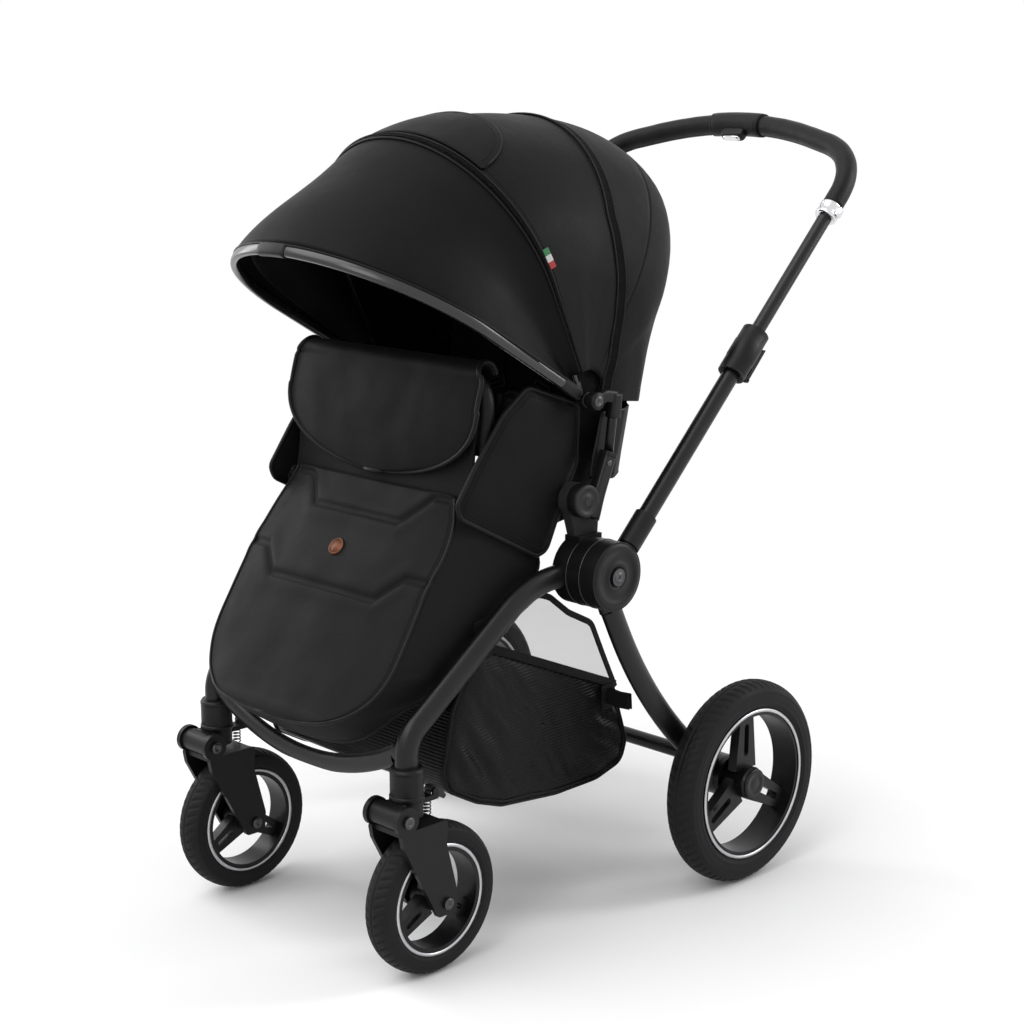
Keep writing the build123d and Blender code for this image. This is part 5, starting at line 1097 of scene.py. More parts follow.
def panel_point(x, up, lift=0.0):
    """A place on the crowned front of the footmuff; the crown stands out square to its slope."""
    half = max(panel_width(up), 1.0)
    share = min(1.0, abs(x) / half)
    toe = np.clip((-110 - up) / 50, 0, 1)
    proud = CROWN * (1 - share ** 2.6) * (1 - 0.75 * toe ** 2) * float(np.clip((135 - up) / 60, 0.25, 1))
    for corners in CHEVRONS:
        d = to_segments(x, up, corners)
        proud += -3.6 * math.exp(-(d / 3.6) ** 2) + 1.3 * math.exp(-((d - 11) / 9) ** 2)
    edge = (1 - share) * half
    proud -= 2.2 * math.exp(-(edge / 5) ** 2)
    proud += 2.4 * noise.fractal(Vector((x * 0.011 + 5, up * 0.011, 2.0)), 1.0, 2.0, 2) * min(1.0, edge / 30)
    proud += lift
    return hub(x, panel_edge_at(up) - proud * 0.81, up + proud * 0.50)


levels = []
for up_low, up_high, n in ((-163, -158, 10), (-158, -140, 14), (-140, -98, 20), (-98, 120, 80)):
    levels += list(np.linspace(up_low, up_high, n, endpoint=up_high == 120))
levels = np.array(levels)
shares = np.sin(np.linspace(-math.pi / 2, math.pi / 2, 97) * 0.999) * 0.35 + np.linspace(-1, 1, 97) * 0.65
panel = np.array([[panel_point(s * panel_width(u), u) for s in shares] for u in levels])
front_panel = grid_piece("panel", panel, apron)
recalc(front_panel)
if front_panel.data.polygons[3000].normal.y > 0:
    front_panel.data.flip_normals()
thicken(front_panel, 5.0)

# Edge line of the panel, from one shoulder under the foot end to the other
edge_right = [panel_point(panel_width(u), u) for u in levels]
edge = np.array([(-x, y, z) for x, y, z in edge_right[::-1]] + edge_right)
edge = resample(edge, 260)

# Gusset: runs from the panel's edge back along the sides, and square to the slope under the feet
BACK_EDGE = [(0, -338, -200), (45, -337, -199.5), (80, -335, -197), (110, -331, -191), (136, -322, -178),
             (158, -305, -158), (172, -284, -142), (181, -256, -132), (184, -222, -118), (185, -187, -86),
             (185.4, -132, -41), (185.4, -78, -10), (185.4, -60, 6), (185.6, -62, 28), (185.6, -74, 35),
             (185.6, -128, 62), (185, -178, 88), (180, -190, 100), (166, -192, 112)]
count = 130
right_edge = resample(np.array(edge_right), count)
back_line = smooth_line([hub(*p) for p in BACK_EDGE], count)
# Each point of the edge meets a point of the back line: close together at the foot, far apart at the side
gusset_rows = []
for i in range(count):
    a, b = right_edge[i], back_line[i]
    row = []
    for t in np.linspace(0, 1, 30):
        p = a * (1 - t) + b * t
        out = unit(np.array([p[0] / 184, 0.0, -0.8 * max(0.0, 1 - p[0] / 150)]))
        bulge = math.sin(math.pi * t) ** 0.8 * (5.0 if i < 60 else 3.0)
        fold = 1.4 * noise.noise(Vector((i * 0.09, t * 2.0, 9.1))) * math.sin(math.pi * t)
        p = p + out * (bulge + fold)
        p[0] = min(p[0], 186.4)
        row.append(p)
    gusset_rows.append(row)
half = np.array(gusset_rows)
left = half[::-1].copy()
left[..., 0] *= -1
whole = np.concatenate([left[:-1], half])
side_skin = grid_piece("gusset", whole, apron)
recalc(side_skin)
middle = side_skin.data.polygons[(len(whole) - 8) * 25 + 12]
if middle.normal.x < 0:
    side_skin.data.flip_normals()
thicken(side_skin, 4.0)
binding = tube("binding", edge + np.array([0, -0.8, 0]), 4.2, piping, 12)
back_seam = np.concatenate([(back_line * np.array([-1, 1, 1]))[::-1][:-1], back_line])
hem = tube("back_hem", resample(back_seam, 200), 4.0, piping, 10)

# Sewn channels of the two chevrons, and stitching along the panel's edge
channels = []
for corners in CHEVRONS:
    flat = fillet_line(corners, 6, 3.0)
    for shift in (-4.6, 4.6):
        line = np.array([panel_point(x, u + shift, 0.9) for x, u in flat])
        channels.append(stitches("channel", line, (0, -1, 0.15), thread, 4.4, 3.0, 0.9))
    groove = np.array([panel_point(x, u, -1.0) for x, u in flat])
    channels.append(tube("groove", groove, 2.2, piping, 8))
inner_edge = np.array([panel_point(max(panel_width(u) - 7.5, 0), u, 0.9) for u in levels[14:]])
for side in SIDES.values():
    channels.append(stitches("edge_row", resample(inner_edge * np.array([side, 1, 1]), 400),
                             (side * 0.3, -1, 0), thread, 4.6, 3.2, 0.9))
# Plain copper badge
spot = np.array(panel_point(0, 32, 0.0))
slope = unit(np.array(panel_point(0, 24)) - np.array(panel_point(0, 40)))
out = unit(np.cross(slope, (1, 0, 0)))
out = out if out[1] < 0 else -out
badge = solid_lathe("badge", [(0.2, 2.1), (8.6, 2.1), (9.2, 1.3), (10.2, 1.3), (10.8, 2.6), (12.2, 2.4),
                              (12.8, 1.0), (12.8, -1.0), (0.2, -1.0)], spot, copper, 64, out)
# Tongue behind the flap, up to the bar
tongue_rows = []
for up, back_at, half_w in ((100, -193, 172), (125, -183, 175), (150, -179, 177), (180, -176, 178),
                            (215, -170, 177), (246, -166, 174)):
    tongue_rows.append([hub(s * half_w, back_at + 5.0 * abs(s) ** 2.5 + 1.2 * math.sin(s * 7 + up * 0.05),
                            up)
                        for s in np.linspace(-1, 1, 49)])
tongue = grid_piece("tongue", np.array(tongue_rows), apron)
recalc(tongue)
if tongue.data.polygons[60].normal.y > 0:
    tongue.data.flip_normals()
thicken(tongue, 3.0)
apron_piece = join("footmuff_apron", [front_panel, side_skin, binding, hem, tongue, badge] + channels)
bend(apron_piece, "seat_base", "legrest", np.array(hub(0, -225, 40)) * MM, np.array(hub(0, -300, -110)) * MM,
     "shell_fabric", "footmuff")

# ----------------------------------------------------------------- flap over the bumper bar
BAR_Y, BAR_UP = -147.0, 275.0
FOLD = 20.0


def flap_edge_half(up):
    """Half width of the D outline at a height."""
    share = np.clip((232 - up) / (232 - 134.5), 0, 1)
    return 190.0 * (1 - share ** 2.35) ** 0.5


def flap_side(s):
    """Side view of the flap at a run length from the back of the fold, down to the hem."""
    turn = FOLD * math.pi * 0.93
    if s < turn:
        angle = s / FOLD
        return BAR_Y + FOLD * math.cos(angle), BAR_UP + FOLD * math.sin(angle)
    start = (BAR_Y + FOLD * math.cos(turn / FOLD), BAR_UP + FOLD * math.sin(turn / FOLD))
    t = s - turn
    line = [(0, start[0], start[1]), (22, BAR_Y - 26.5, BAR_UP - 17), (50, BAR_Y - 33.5, BAR_UP - 44),
            (90, BAR_Y - 39.5, BAR_UP - 84), (128, BAR_Y - 42.5, BAR_UP - 122),
            (145, BAR_Y - 42.0, BAR_UP - 140)]
    runs, ys, ups = zip(*line)
    return float(shaped(runs, ys, t)), float(shaped(runs, ups, t))


TURN = FOLD * math.pi * 0.93
rows = []
for s in np.concatenate([np.linspace(0, TURN, 24)[:-1], TURN + np.linspace(0, 145, 60)]):
    y, up = flap_side(s)
    half = 174.0 + 14 * float(np.clip((s - TURN * 0.55) / (TURN * 0.6), 0, 1)) ** 1.5
    if s > TURN and up < 232:
        half = flap_edge_half(up)
    row = []
    for share in shares:
        x = share * half
        sag = 5.0 * (1 - share ** 2) * np.clip((s - TURN) / 90, 0, 1)
        soft = 1.8 * noise.fractal(Vector((x * 0.012 + 3, s * 0.014, 7.0)), 1.0, 2.0,
                                   2) * (1 - abs(share) ** 6)
        row.append(hub(x, y - sag - soft * (s > TURN * 0.6) + 3.5 * abs(share) ** 6 * (s > TURN), up))
    rows.append(row)
rows = np.array(rows)
sheet_piece = grid_piece("flap", rows, shell)
recalc(sheet_piece)
if sheet_piece.data.polygons[60 * 96 + 48].normal.y > 0:
    sheet_piece.data.flip_normals()
thicken(sheet_piece, 5.0)
bottom = rows[-1]
loop = np.concatenate([rows[:, 0], bottom[1:], rows[::-1, -1][1:]])
HANGING_ROW = 26   # first row of the flap that hangs free of the bar
binding = tube("flap_binding", resample(loop, 300), 6.4, piping, 14)
inset = []
for row in rows[HANGING_ROW:]:
    inset.append(row[-1] + unit(row[-6] - row[-1]) * 8.0 + np.array([0, -1.2, 0]))
sewn = [stitches("a", resample(np.array(inset[:-5]), 200), (0.2, -1, 0), thread, 4.6, 3.2, 1.0),
        stitches("b", resample(np.array(inset[:-5]) * np.array([-1, 1, 1]), 200), (-0.2, -1, 0), thread,
                 4.6, 3.2, 1.0)]
ride(join("footmuff_flap_cover", [sheet_piece, binding] + sewn), "bumper", "shell_fabric", "footmuff_flap")

# Bumper bar: leather sleeves with a seam and stitches, plastic feet
bar_path = fillet_line([(173, 177), (173, BAR_UP), (-173, BAR_UP), (-173, 177)], 40, 4.0)
bar_points = np.array([hub(x, BAR_Y, u) for x, u in bar_path])
bar = sweep("bar", bar_points, ring_profile(26, count=24), leather, up=(0, 1, 0))
ridge = sweep("ridge", bar_points + np.array([0, -13.0, 0]), ring_profile(1.6, 1.6, 8), leather,
              up=(0, 1, 0))
extra = [bar, ridge]
for shift in (-2.4, 2.4):
    flat = np.array([hub(x * (1 + shift / 180), BAR_Y - 12.9, u + (shift if abs(x) < 150 else 0)) for x,
                     u in bar_path])
    extra.append(stitches("bar_row", flat, (0, -1, 0), thread, 5.0, 3.4, 1.0))
for side in SIDES.values():
    extra.append(solid_lathe("foot", [(0.2, -6.8), (12.6, -6.8), (13.9, -5.2), (13.9, 4), (13.2, 6),
                             (0.2, 6)], hub(side * 173, BAR_Y, 179.4), plastic, 40, (0, 0, 1)))
    extra.append(solid_lathe("peg", [(0.2, -10), (5.9, -10), (5.9, 10), (0.2, 10)],
                             hub(side * 173, BAR_Y, 162), plastic, 32, (0, 0, 1)))
ride(join("bumper_sleeve", extra), "bumper", "leather_black", "bumper_bar")


# ----------------------------------------------------------------- side wings
WING = [(-88, 257), (10, 223), (7, 146), (-12, 114), (-52, 31), (-71, 27), (-209, 99), (-216, 117),
        (-177, 171), (-133, 225)]
WING_X = (187.2, 197.4)


def inside_distance(x, y, corners):
    return to_segments(x, y, corners + corners[:1])


outline = fillet_line([(WING[-1][0] * 0.5 + WING[0][0] * 0.5, WING[-1][1] * 0.5 + WING[0][1] * 0.5)] + WING
                      + [(WING[-1][0] * 0.5 + WING[0][0] * 0.5, WING[-1][1] * 0.5 + WING[0][1] * 0.5)],
                      [14, 16, 30, 20, 20, 12, 16, 12, 40, 40], 3.0)[:-1]
outline = resample(outline, 160, closed=True)
centre = outline.mean(0)
for side_name, side in SIDES.items():
    shells = []
    for face in (0, 1):
        rows = []
        for t in np.linspace(1, 0.02, 30):
            ring = centre + (outline - centre) * t
            row = []
            for (b, u) in ring:
                d = inside_distance(b, u, [tuple(p) for p in outline[::4]])
                puff = (1 - math.exp(-d / 9)) ** 1.0
                soft = noise.fractal(Vector((b * 0.014, u * 0.014, 3.0 + side)), 1.0, 2.0, 2)
                mid_x = (WING_X[0] + WING_X[1]) / 2
                if face:
                    x = mid_x + 0.6 + (WING_X[1] - mid_x + 1.6) * puff + 0.9 * soft * puff
                else:
                    x = mid_x - 0.6 - (mid_x - WING_X[0] - 0.7) * puff
                row.append((side * x, HUB[1] + b, HUB[2] + u))
            rows.append(row)
        shells.append(np.array(rows))
    stack = np.concatenate([shells[0][::-1], shells[1]])
    body = recalc(grid_piece("wing_body", stack, shell, wrap_cols=True, caps=True))
    edge = np.array([(side * (WING_X[0] + WING_X[1]) / 2, HUB[1] + b, HUB[2] + u) for b, u in outline])
    pipe = tube("wing_piping", edge, 6.2, piping, 14, closed=True)
    ring = centre + (outline - centre) * 1.0
    normal_2d = unit(np.roll(outline, -1, 0) - np.roll(outline, 1, 0))[:, ::-1] * np.array([1, -1])
    if np.mean(np.sum(normal_2d * (centre - outline), 1)) < 0:
        normal_2d = -normal_2d
    ring = outline + normal_2d * 9.5
    seam = np.array([(side * (WING_X[1] + 0.9), HUB[1] + b, HUB[2] + u) for b, u in ring])
    row = stitches("wing_row", np.vstack([seam, seam[:1]]), (side, 0, 0), thread, 4.8, 3.3, 1.0)
    piece = join(f"side_wing_{side_name}", [body, pipe, row])
    if side_name == "left":
        ride(piece, "seat_base", "shell_fabric", "side_wings")
    else:
        ride(piece, "seat_base", "shell_fabric")


# ----------------------------------------------------------------- basket
TUB = [(-170, -78), (-215, -158), (-235, -248), (-225, -270), (-175, -298), (-127, -315), (-19, -326),
       (63, -325), (116, -311), (126, -280), (96, -190)]
BASKET_X = 187.6


def tub_side():
    return fillet_line(TUB, [40, 40, 10, 30, 20, 60, 60, 24, 12], 3.0)


profile = resample(tub_side(), 150)
rows = []
x_shares = np.concatenate([np.linspace(-1, -0.93, 5)[:-1], np.linspace(-0.93, 0.93, 61),
                           np.linspace(0.93, 1, 5)[1:]])
for share in x_shares:
    row = []
    for k, (b, u) in enumerate(profile):
        t = k / (len(profile) - 1)
        sag = (1 - share ** 2) * 5.0 * math.sin(math.pi * t)
        rounding = 7.0 * max(0.0, (abs(share) - 0.93) / 0.07) ** 2
        inward = unit(np.array([-55.0, -215.0]) - np.array([b, u]))
        soft = 2.5 * noise.fractal(Vector((share * 2.2, b * 0.012, u * 0.012)), 1.0, 2.0, 2)
        p = np.array([b, u]) + inward * (rounding + max(0, soft)) + np.array([0, -sag * 0.35])
        row.append(hub(share * (BASKET_X - 1.5), p[0], p[1]))
    rows.append(row)
belly = grid_piece("belly", np.array(rows), ribbed)
recalc(belly)
face = belly.data.polygons[(len(rows) // 2) * 149 + 80]
if face.normal.z > 0:
    belly.data.flip_normals()
thicken(belly, 2.0)

pieces = [belly]
rim = [(-170, -78), (96, -190)]
outline = np.vstack([resample(np.array(profile), 130), np.linspace((96, -190), (-170, -78), 40)[1:-1]])
centre = np.array([-52.0, -215.0])
for side in SIDES.values():
    skins = []
    for t in np.linspace(1, 0.015, 46):
        row = []
        for (b, u) in centre + (outline - centre) * t:
            d = inside_distance(b, u, [tuple(p) for p in outline[::5]])
            bulge = 1.0 - math.exp(-d / 14)
            fold = noise.fractal(Vector((b * 0.03 + u * 0.02, (u - b * 0.3) * 0.012, side * 2.0)), 1.0, 2.1,
                                 3)
            front = math.exp(-((b + 185) / 60) ** 2 - ((u + 235) / 60) ** 2)
            crease = 4.0 * front * math.sin((b * 0.8 + u * 0.55) * 0.17) + 2.2 * fold
            rear_crease = 2.0 * math.exp(-((b - 85) / 38) ** 2) * math.sin((u + b * 0.5) * 0.2)
            x = BASKET_X - 6.0 + 6.0 * bulge + (crease + rear_crease) * bulge
            row.append((side * min(x, BASKET_X + 2.0), HUB[1] + b, HUB[2] + u))
        skins.append(row)
    skin = recalc(grid_piece("skin", np.array(skins), ribbed, wrap_cols=True, caps=False))
    if skin.data.polygons[2000].normal.x * side < 0:
        skin.data.flip_normals()
    pieces.append(thicken(skin, 2.0))
    edge = np.array([(side * (BASKET_X - 5.6), HUB[1] + b, HUB[2] + u) for b, u in outline])
    pieces.append(tube("edge", edge, 3.6, piping, 10, closed=True))
    rim_line = np.linspace((-170, -78), (96, -190), 60)
    hem = np.array([(side * (BASKET_X - 0.6), HUB[1] + b, HUB[2] + u) for b, u in rim_line])
    pieces.append(sweep("rim_tape", hem, ring_profile(1.8, 12, 12, 4), webbing, up=(0, 0.39, 0.92)))
ride(join("basket_tub", pieces), "chassis", "basket_fabric", "basket")

MESH = [(-170, -78), (-61, -25), (-38, -34), (-2, -62), (45, -86), (70, -138), (96, -190)]
pieces = []
for side in SIDES.values():
    top = resample(fillet_line(MESH, [20, 14, 40, 24, 60], 3.0), 90)
    bottom = resample(np.array([(-170, -80), (96, -192)], float), 90)
    rows = []
    for t in np.linspace(0, 1, 24):
        row = []
        for a, b in zip(bottom, top):
            p = a * (1 - t) + b * t
            pull = 1.6 * noise.noise(Vector((p[0] * 0.04, p[1] * 0.012, 5.0 + side))) * math.sin(math.pi * t)
            row.append((side * (186.6 + pull), HUB[1] + p[0], HUB[2] + p[1]))
        rows.append(row)
    net = grid_piece("net", np.array(rows), mesh_cloth)
    pieces.append(thicken(net, 0.8))
ride(join("basket_mesh_sides", pieces), "chassis", "basket_fabric")

pieces = []
for side in SIDES.values():
    top = resample(fillet_line(MESH, [20, 14, 40, 24, 60], 3.0), 110)
    hem = np.array([(side * 186.8, HUB[1] + b, HUB[2] + u - 3.5) for b, u in top])
    pieces.append(sweep("mesh_hem", hem, ring_profile(2.2, 9, 12, 4), webbing, up=(0, 0.2, 0.98)))
ride(join("basket_mesh_binding", pieces), "chassis", "webbing")


# ----------------------------------------------------------------- seat pads
def line_distance(points, corners):
    """Distance in the plane from each point to a line of corners."""
    points, corners = np.asarray(points, float), np.asarray(corners, float)
    a, run = corners[:-1], np.diff(corners, axis=0)
    t = np.clip(((points[:, None] - a) * run).sum(-1) / np.maximum((run * run).sum(-1), 1e-9), 0, 1)
    return np.linalg.norm(points[:, None] - a - run * t[..., None], axis=-1).min(1)


def closed_outline(corners, radii, count):
    """Rounded closed outline, started in the middle of its last side."""
    middle = tuple((np.array(corners[-1], float) + np.array(corners[0], float)) / 2)
    return resample(fillet_line([middle] + corners + [middle], radii, 3.0)[:-1], count, closed=True)


def pad_body(name, place, outline, front, back, edge, channels, mat, dip=4.0):
    """A closed pad on an outline: crowned in front and behind, pressed in along its sewn channels."""
    centre = outline.mean(0)
    loop = np.vstack([outline, outline[:1]])
    shells = []
    for rise in (-back, front):
        rows = []
        for t in np.linspace(1, 0.02, 36):
            ring = centre + (outline - centre) * t
            swell = np.sqrt(np.clip(1 - (1 - np.clip(line_distance(ring, loop) / edge, 0, 1)) ** 2, 0, 1))
            height = rise * swell
            if rise > 0:
                for line in channels:
                    height = height - dip * np.exp(-(line_distance(ring, line) / 5.5) ** 2) * swell
            rows.append(place(np.column_stack([ring, height])))
        shells.append(np.array(rows))
    return recalc(grid_piece(name, np.concatenate([shells[0][::-1], shells[1]]), mat, wrap_cols=True,
                             caps=True))


def puffed(piece, sewn, cap, voxel=5.0, pressure=4.0, highest=None):
    """Even mesh, then Cloth under pressure with the sewn points held; no point moves further than the cap."""
    even = piece.modifiers.new("even", "REMESH")
    even.mode = "VOXEL"
    even.voxel_size = voxel * MM
    apply_modifiers(piece)
    start = np.array([v.co for v in piece.data.vertices]) / MM
    group = piece.vertex_groups.new(name="sewn")
    for index, weight in enumerate(sewn(start)):
        if weight > 0.02:
            group.add([index], float(weight), "REPLACE")
    cloth = piece.modifiers.new("cloth", "CLOTH")
    cloth.settings.quality = 4
    cloth.settings.mass = 0.2
    cloth.settings.tension_stiffness = cloth.settings.compression_stiffness = 12
    cloth.settings.bending_stiffness = 0.6
    cloth.settings.use_pressure = True
    cloth.settings.uniform_pressure_force = pressure
    cloth.settings.effector_weights.gravity = 0
    cloth.settings.vertex_group_mass = "sewn"
    cloth.point_cache.frame_start, cloth.point_cache.frame_end = 1, 20
    for step in range(1, 21):
        bpy.context.scene.frame_set(step)
    graph = bpy.context.evaluated_depsgraph_get()
    swollen = np.array([v.co for v in piece.evaluated_get(graph).data.vertices]) / MM
    piece.modifiers.clear()
    piece.vertex_groups.clear()
    bpy.context.scene.frame_set(1)
    move = swollen - start
    far = np.linalg.norm(move, axis=1, keepdims=True)
    move *= np.minimum(1.0, cap / np.maximum(far, 1e-6))
    final = start + move
    if highest is not None:
        final = highest(final)
    for vert, co in zip(piece.data.vertices, final):
        vert.co = Vector(co) * MM
    piece.data.update()
    subdivide(piece, 1)
    for poly in piece.data.polygons:
        poly.use_smooth = True
    return piece


def dropped(piece, points, outward, lift=0.0):
    """Points brought onto a piece against the outward direction, then lifted off it."""
    tree = BVHTree.FromPolygons([v.co for v in piece.data.vertices],
                                [p.vertices for p in piece.data.polygons])
    out = Vector(outward).normalized()
    found = []
    for p in np.asarray(points, float):
        hit = tree.ray_cast(Vector(p) * MM + out * 0.08, -out, 0.2)[0]
        found.append(np.array(hit) / MM if hit else p)
    return np.array(found) + np.array(out) * lift


BACK_TILT = math.radians(12)
BACK_AXES = np.array([[1, 0, 0], [0, math.sin(BACK_TILT), math.cos(BACK_TILT)],
                      [0, -math.cos(BACK_TILT), math.sin(BACK_TILT)]])
BACK_OUT = BACK_AXES[2]


def on_back(local):
    """Across, up the back board and out of it, in mm, as a place."""
    return np.array(hub(0, 97, 104)) + np.asarray(local, float) @ BACK_AXES


def on_seat(local):
    """Across, back from the seat pan's front edge and up from its top, in mm, as a place."""
    return np.array(hub(0, -180, 66.3)) + np.asarray(local, float)


def from_back(points):
    return (np.asarray(points, float) - np.array(hub(0, 97, 104))) @ BACK_AXES.T


def from_seat(points):
    return np.asarray(points, float) - np.array(hub(0, -180, 66.3))


def held_at(local_of, middle, outline, channels, front_side):
    """Sewn points: the rim, the channels on the front face and the flat rear face."""
    loop = np.vstack([outline, outline[:1]])

    def weights(points):
        local = local_of(points)
        rim = line_distance(local[:, :2], loop) < 4.5
        near = np.min([line_distance(local[:, :2], line) for line in channels], axis=0)
        front = local[:, 2] > middle + front_side
        return np.where(rim | (local[:, 2] < middle), 1.0, np.where(front, np.exp(-(near / 4.0) ** 4), 0.0))
    return weights


def below(local_of, place, top):
    def limit(points):
        local = local_of(points)
        local[:, 2] = np.minimum(local[:, 2], top)
        return place(local)
    return limit


# Back pad: bolsters at the sides and three sewn fields between them
PAD = closed_outline([(163, 6), (163, 339), (-163, 339), (-163, 6)], [56, 56, 56, 56], 190)
PAD_LINES = [np.array([(116, 12), (110, 110), (110, 240), (118, 332)], float),
             np.array([(-116, 12), (-110, 110), (-110, 240), (-118, 332)], float),
             np.array([(-110, 112), (110, 112)], float), np.array([(-112, 262), (112, 262)], float)]
back_mid = 16.0
body = pad_body("pad", lambda p: on_back(p + [0, 0, back_mid]), PAD, 13.0, 9.0, 26.0, PAD_LINES, padding)
puffed(body, held_at(from_back, back_mid, PAD, PAD_LINES, 2.0), 8.0, highest=below(from_back, on_back, 36.0))
parts = [body]
rim = on_back(np.column_stack([PAD, np.full(len(PAD), back_mid)]))
parts.append(tube("pad_welt", rim, 5.0, piping, 12, closed=True))
for line in PAD_LINES:
    flat = resample(line, 120)[3:-3]
    sewn = dropped(body, on_back(np.column_stack([flat, np.full(len(flat), 60.0)])), BACK_OUT, 0.3)
    parts.append(stitches("pad_row", sewn, BACK_OUT, thread, 5.0, 3.4, 1.0))
back_pad = join("back_pad_cover", parts)
ride(back_pad, "backrest", "lining_fabric", "back_pad")

# Seat cushion
SEAT = closed_outline([(159, 2), (159, 204), (-159, 204), (-159, 2)], [26, 26, 26, 26], 180)
SEAT_LINES = [np.array([(108, 6), (106, 100), (108, 200)], float),
              np.array([(-108, 6), (-106, 100), (-108, 200)], float),
              np.array([(-106, 120), (106, 120)], float)]
seat_mid = 9.0
body = pad_body("cushion", lambda p: on_seat(p + [0, 0, seat_mid]), SEAT, 13.0, 8.6, 24.0, SEAT_LINES,
                padding)
puffed(body, held_at(from_seat, seat_mid, SEAT, SEAT_LINES, 2.0), 8.0,
       highest=below(from_seat, on_seat, 29.6))
parts = [body]
rim = on_seat(np.column_stack([SEAT, np.full(len(SEAT), seat_mid)]))
parts.append(tube("cushion_welt", rim, 4.6, piping, 12, closed=True))
for line in SEAT_LINES:
    flat = resample(line, 110)[3:-3]
    sewn = dropped(body, on_seat(np.column_stack([flat, np.full(len(flat), 60.0)])), (0, 0, 1), 0.3)
    parts.append(stitches("cushion_row", sewn, (0, 0, 1), thread, 5.0, 3.4, 1.0))
cushion = join("seat_cushion_cover", parts)
ride(cushion, "seat_base", "lining_fabric", "seat_cushion")

# Harness: webbing over the pad, quilted shoulder sleeves, ladder buckles and a centre buckle
parts = []


def over_pad(flat, lift, count=60):
    line = resample(np.array(flat, float), count)
    found = dropped(back_pad, on_back(np.column_stack([line, np.full(count, 60.0)])), BACK_OUT, lift)
    soft = found.copy()
    for _ in range(6):
        soft[1:-1] = (soft[:-2] + soft[1:-1] * 2 + soft[2:]) / 4
    high = np.maximum(((found - soft) @ BACK_OUT), 0)
    return soft + high[:, None] * BACK_OUT


for side in SIDES.values():
    strap = over_pad([(side * 56, 276), (side * 52, 250), (side * 50, 130), (side * 34, 92),
                      (side * 22, 84)], 1.3)
    strap[0] -= BACK_OUT * 5
    parts.append(sweep("shoulder_strap", strap, ring_profile(25, 2.0, 16, 5), webbing, up=BACK_OUT,
                       fixed_up=True))
    sleeve = over_pad([(side * 53, 256), (side * 52, 236), (side * 50.5, 136), (side * 49, 126)], 3.4, 60)
    swell = 1 - 0.10 * np.linspace(-1, 1, 60) ** 8
    parts.append(sweep("shoulder_pad", sleeve, ring_profile(39, 6.6, 28, 3.4), padding, up=BACK_OUT,
                       scale=swell, fixed_up=True))
    for shift in (-15.5, 15.5):
        edge = sleeve[3:-3] + np.array([shift, 0, 0]) + BACK_OUT * 3.0
        parts.append(stitches("sleeve_row", edge, BACK_OUT, thread, 4.4, 3.0, 0.9))
    waist = over_pad([(side * 68, 76), (side * 24, 80)], 1.3, 24)
    parts.append(sweep("waist_strap", waist, ring_profile(25, 2.0, 16, 5), webbing, up=BACK_OUT,
                       fixed_up=True))
    centre = over_pad([(side * 46, 112), (side * 44, 110)], 4.0, 3)[1]
    along = unit(BACK_AXES[1] + np.array([side * 0.35, 0, 0]))
    across = unit(np.cross(along, BACK_OUT))
    for step in (-7.5, 0.0, 7.5):
        parts.append(rounded_box("ladder_bar", (33, 3.4, 3.4), centre + along * step,
                                 [across, along, BACK_OUT], plastic, 4, 8, 20))
    for step in (-14.8, 14.8):
        parts.append(rounded_box("ladder_side", (3.4, 18.4, 4.0), centre + across * step,
                                 [across, along, BACK_OUT], plastic, 4, 8, 20))
    tongue_at = over_pad([(side * 25, 84), (side * 24, 84)], 6.5, 3)[1]
    parts.append(rounded_box("tongue_plate", (20, 27, 6.0), tongue_at, [(1, 0, 0), BACK_AXES[1], BACK_OUT],
                             plastic, 5, 8, 28))
crotch = over_pad([(0, 34), (0, 66)], 1.4, 24)
parts.append(sweep("crotch_strap", crotch, ring_profile(25, 2.0, 16, 5), webbing, up=BACK_OUT,
                   fixed_up=True))
buckle = over_pad([(0, 83), (0, 82)], 7.4, 3)[1]
parts.append(rounded_box("buckle", (43, 49, 12.6), buckle, [(1, 0, 0), BACK_AXES[1], BACK_OUT], plastic,
                         3.4, 14, 48))
parts.append(solid_lathe("buckle_button", [(0.2, 1.9), (8.0, 2.3), (11.4, 1.7), (12.4, 0.4), (12.8, -2.4),
                         (0.2, -2.4)], buckle + BACK_OUT * 6.2, grey, 56, BACK_OUT))
parts.append(solid_lathe("buckle_ring", [(13.0, -1.2), (13.4, 1.0), (14.6, 1.4), (15.6, 0.6), (15.8, -1.2),
                         (13.0, -1.2)], buckle + BACK_OUT * 5.8, plastic, 56, BACK_OUT))
ride(join("harness_set", parts), "backrest", "webbing", "harness")


# ----------------------------------------------------------------- back board and its arms
# Fabric-covered board: flat in front under the pad, softly crowned behind, with a welt and two seams
BOARD = closed_outline([(180, 0.5), (180, 344), (-180, 344), (-180, 0.5)], [40, 40, 40, 40], 190)
BOARD_LINES = [np.array([(96, 14), (92, 170), (98, 330)], float),
               np.array([(-96, 14), (-92, 170), (-98, 330)], float)]
cover = pad_body("board_cover", lambda p: on_back(p * [1, 1, -1] + [0, 0, 4.5]), BOARD, 10.5, 1.4, 18.0,
                 BOARD_LINES, shell, 2.4)
parts = [cover, tube("board_welt", on_back(np.column_stack([BOARD, np.full(len(BOARD), 3.0)])), 5.4, piping,
                     12, closed=True)]
for line in BOARD_LINES:
    flat = resample(line, 150)[4:-4]
    for shift in (-3.0, 3.0):
        sewn = dropped(cover, on_back(np.column_stack([flat + [shift, 0], np.full(len(flat), -60.0)])),
                       -BACK_OUT, 0.3)
        parts.append(stitches("board_row", sewn, -BACK_OUT, thread, 5.0, 3.4, 1.0))
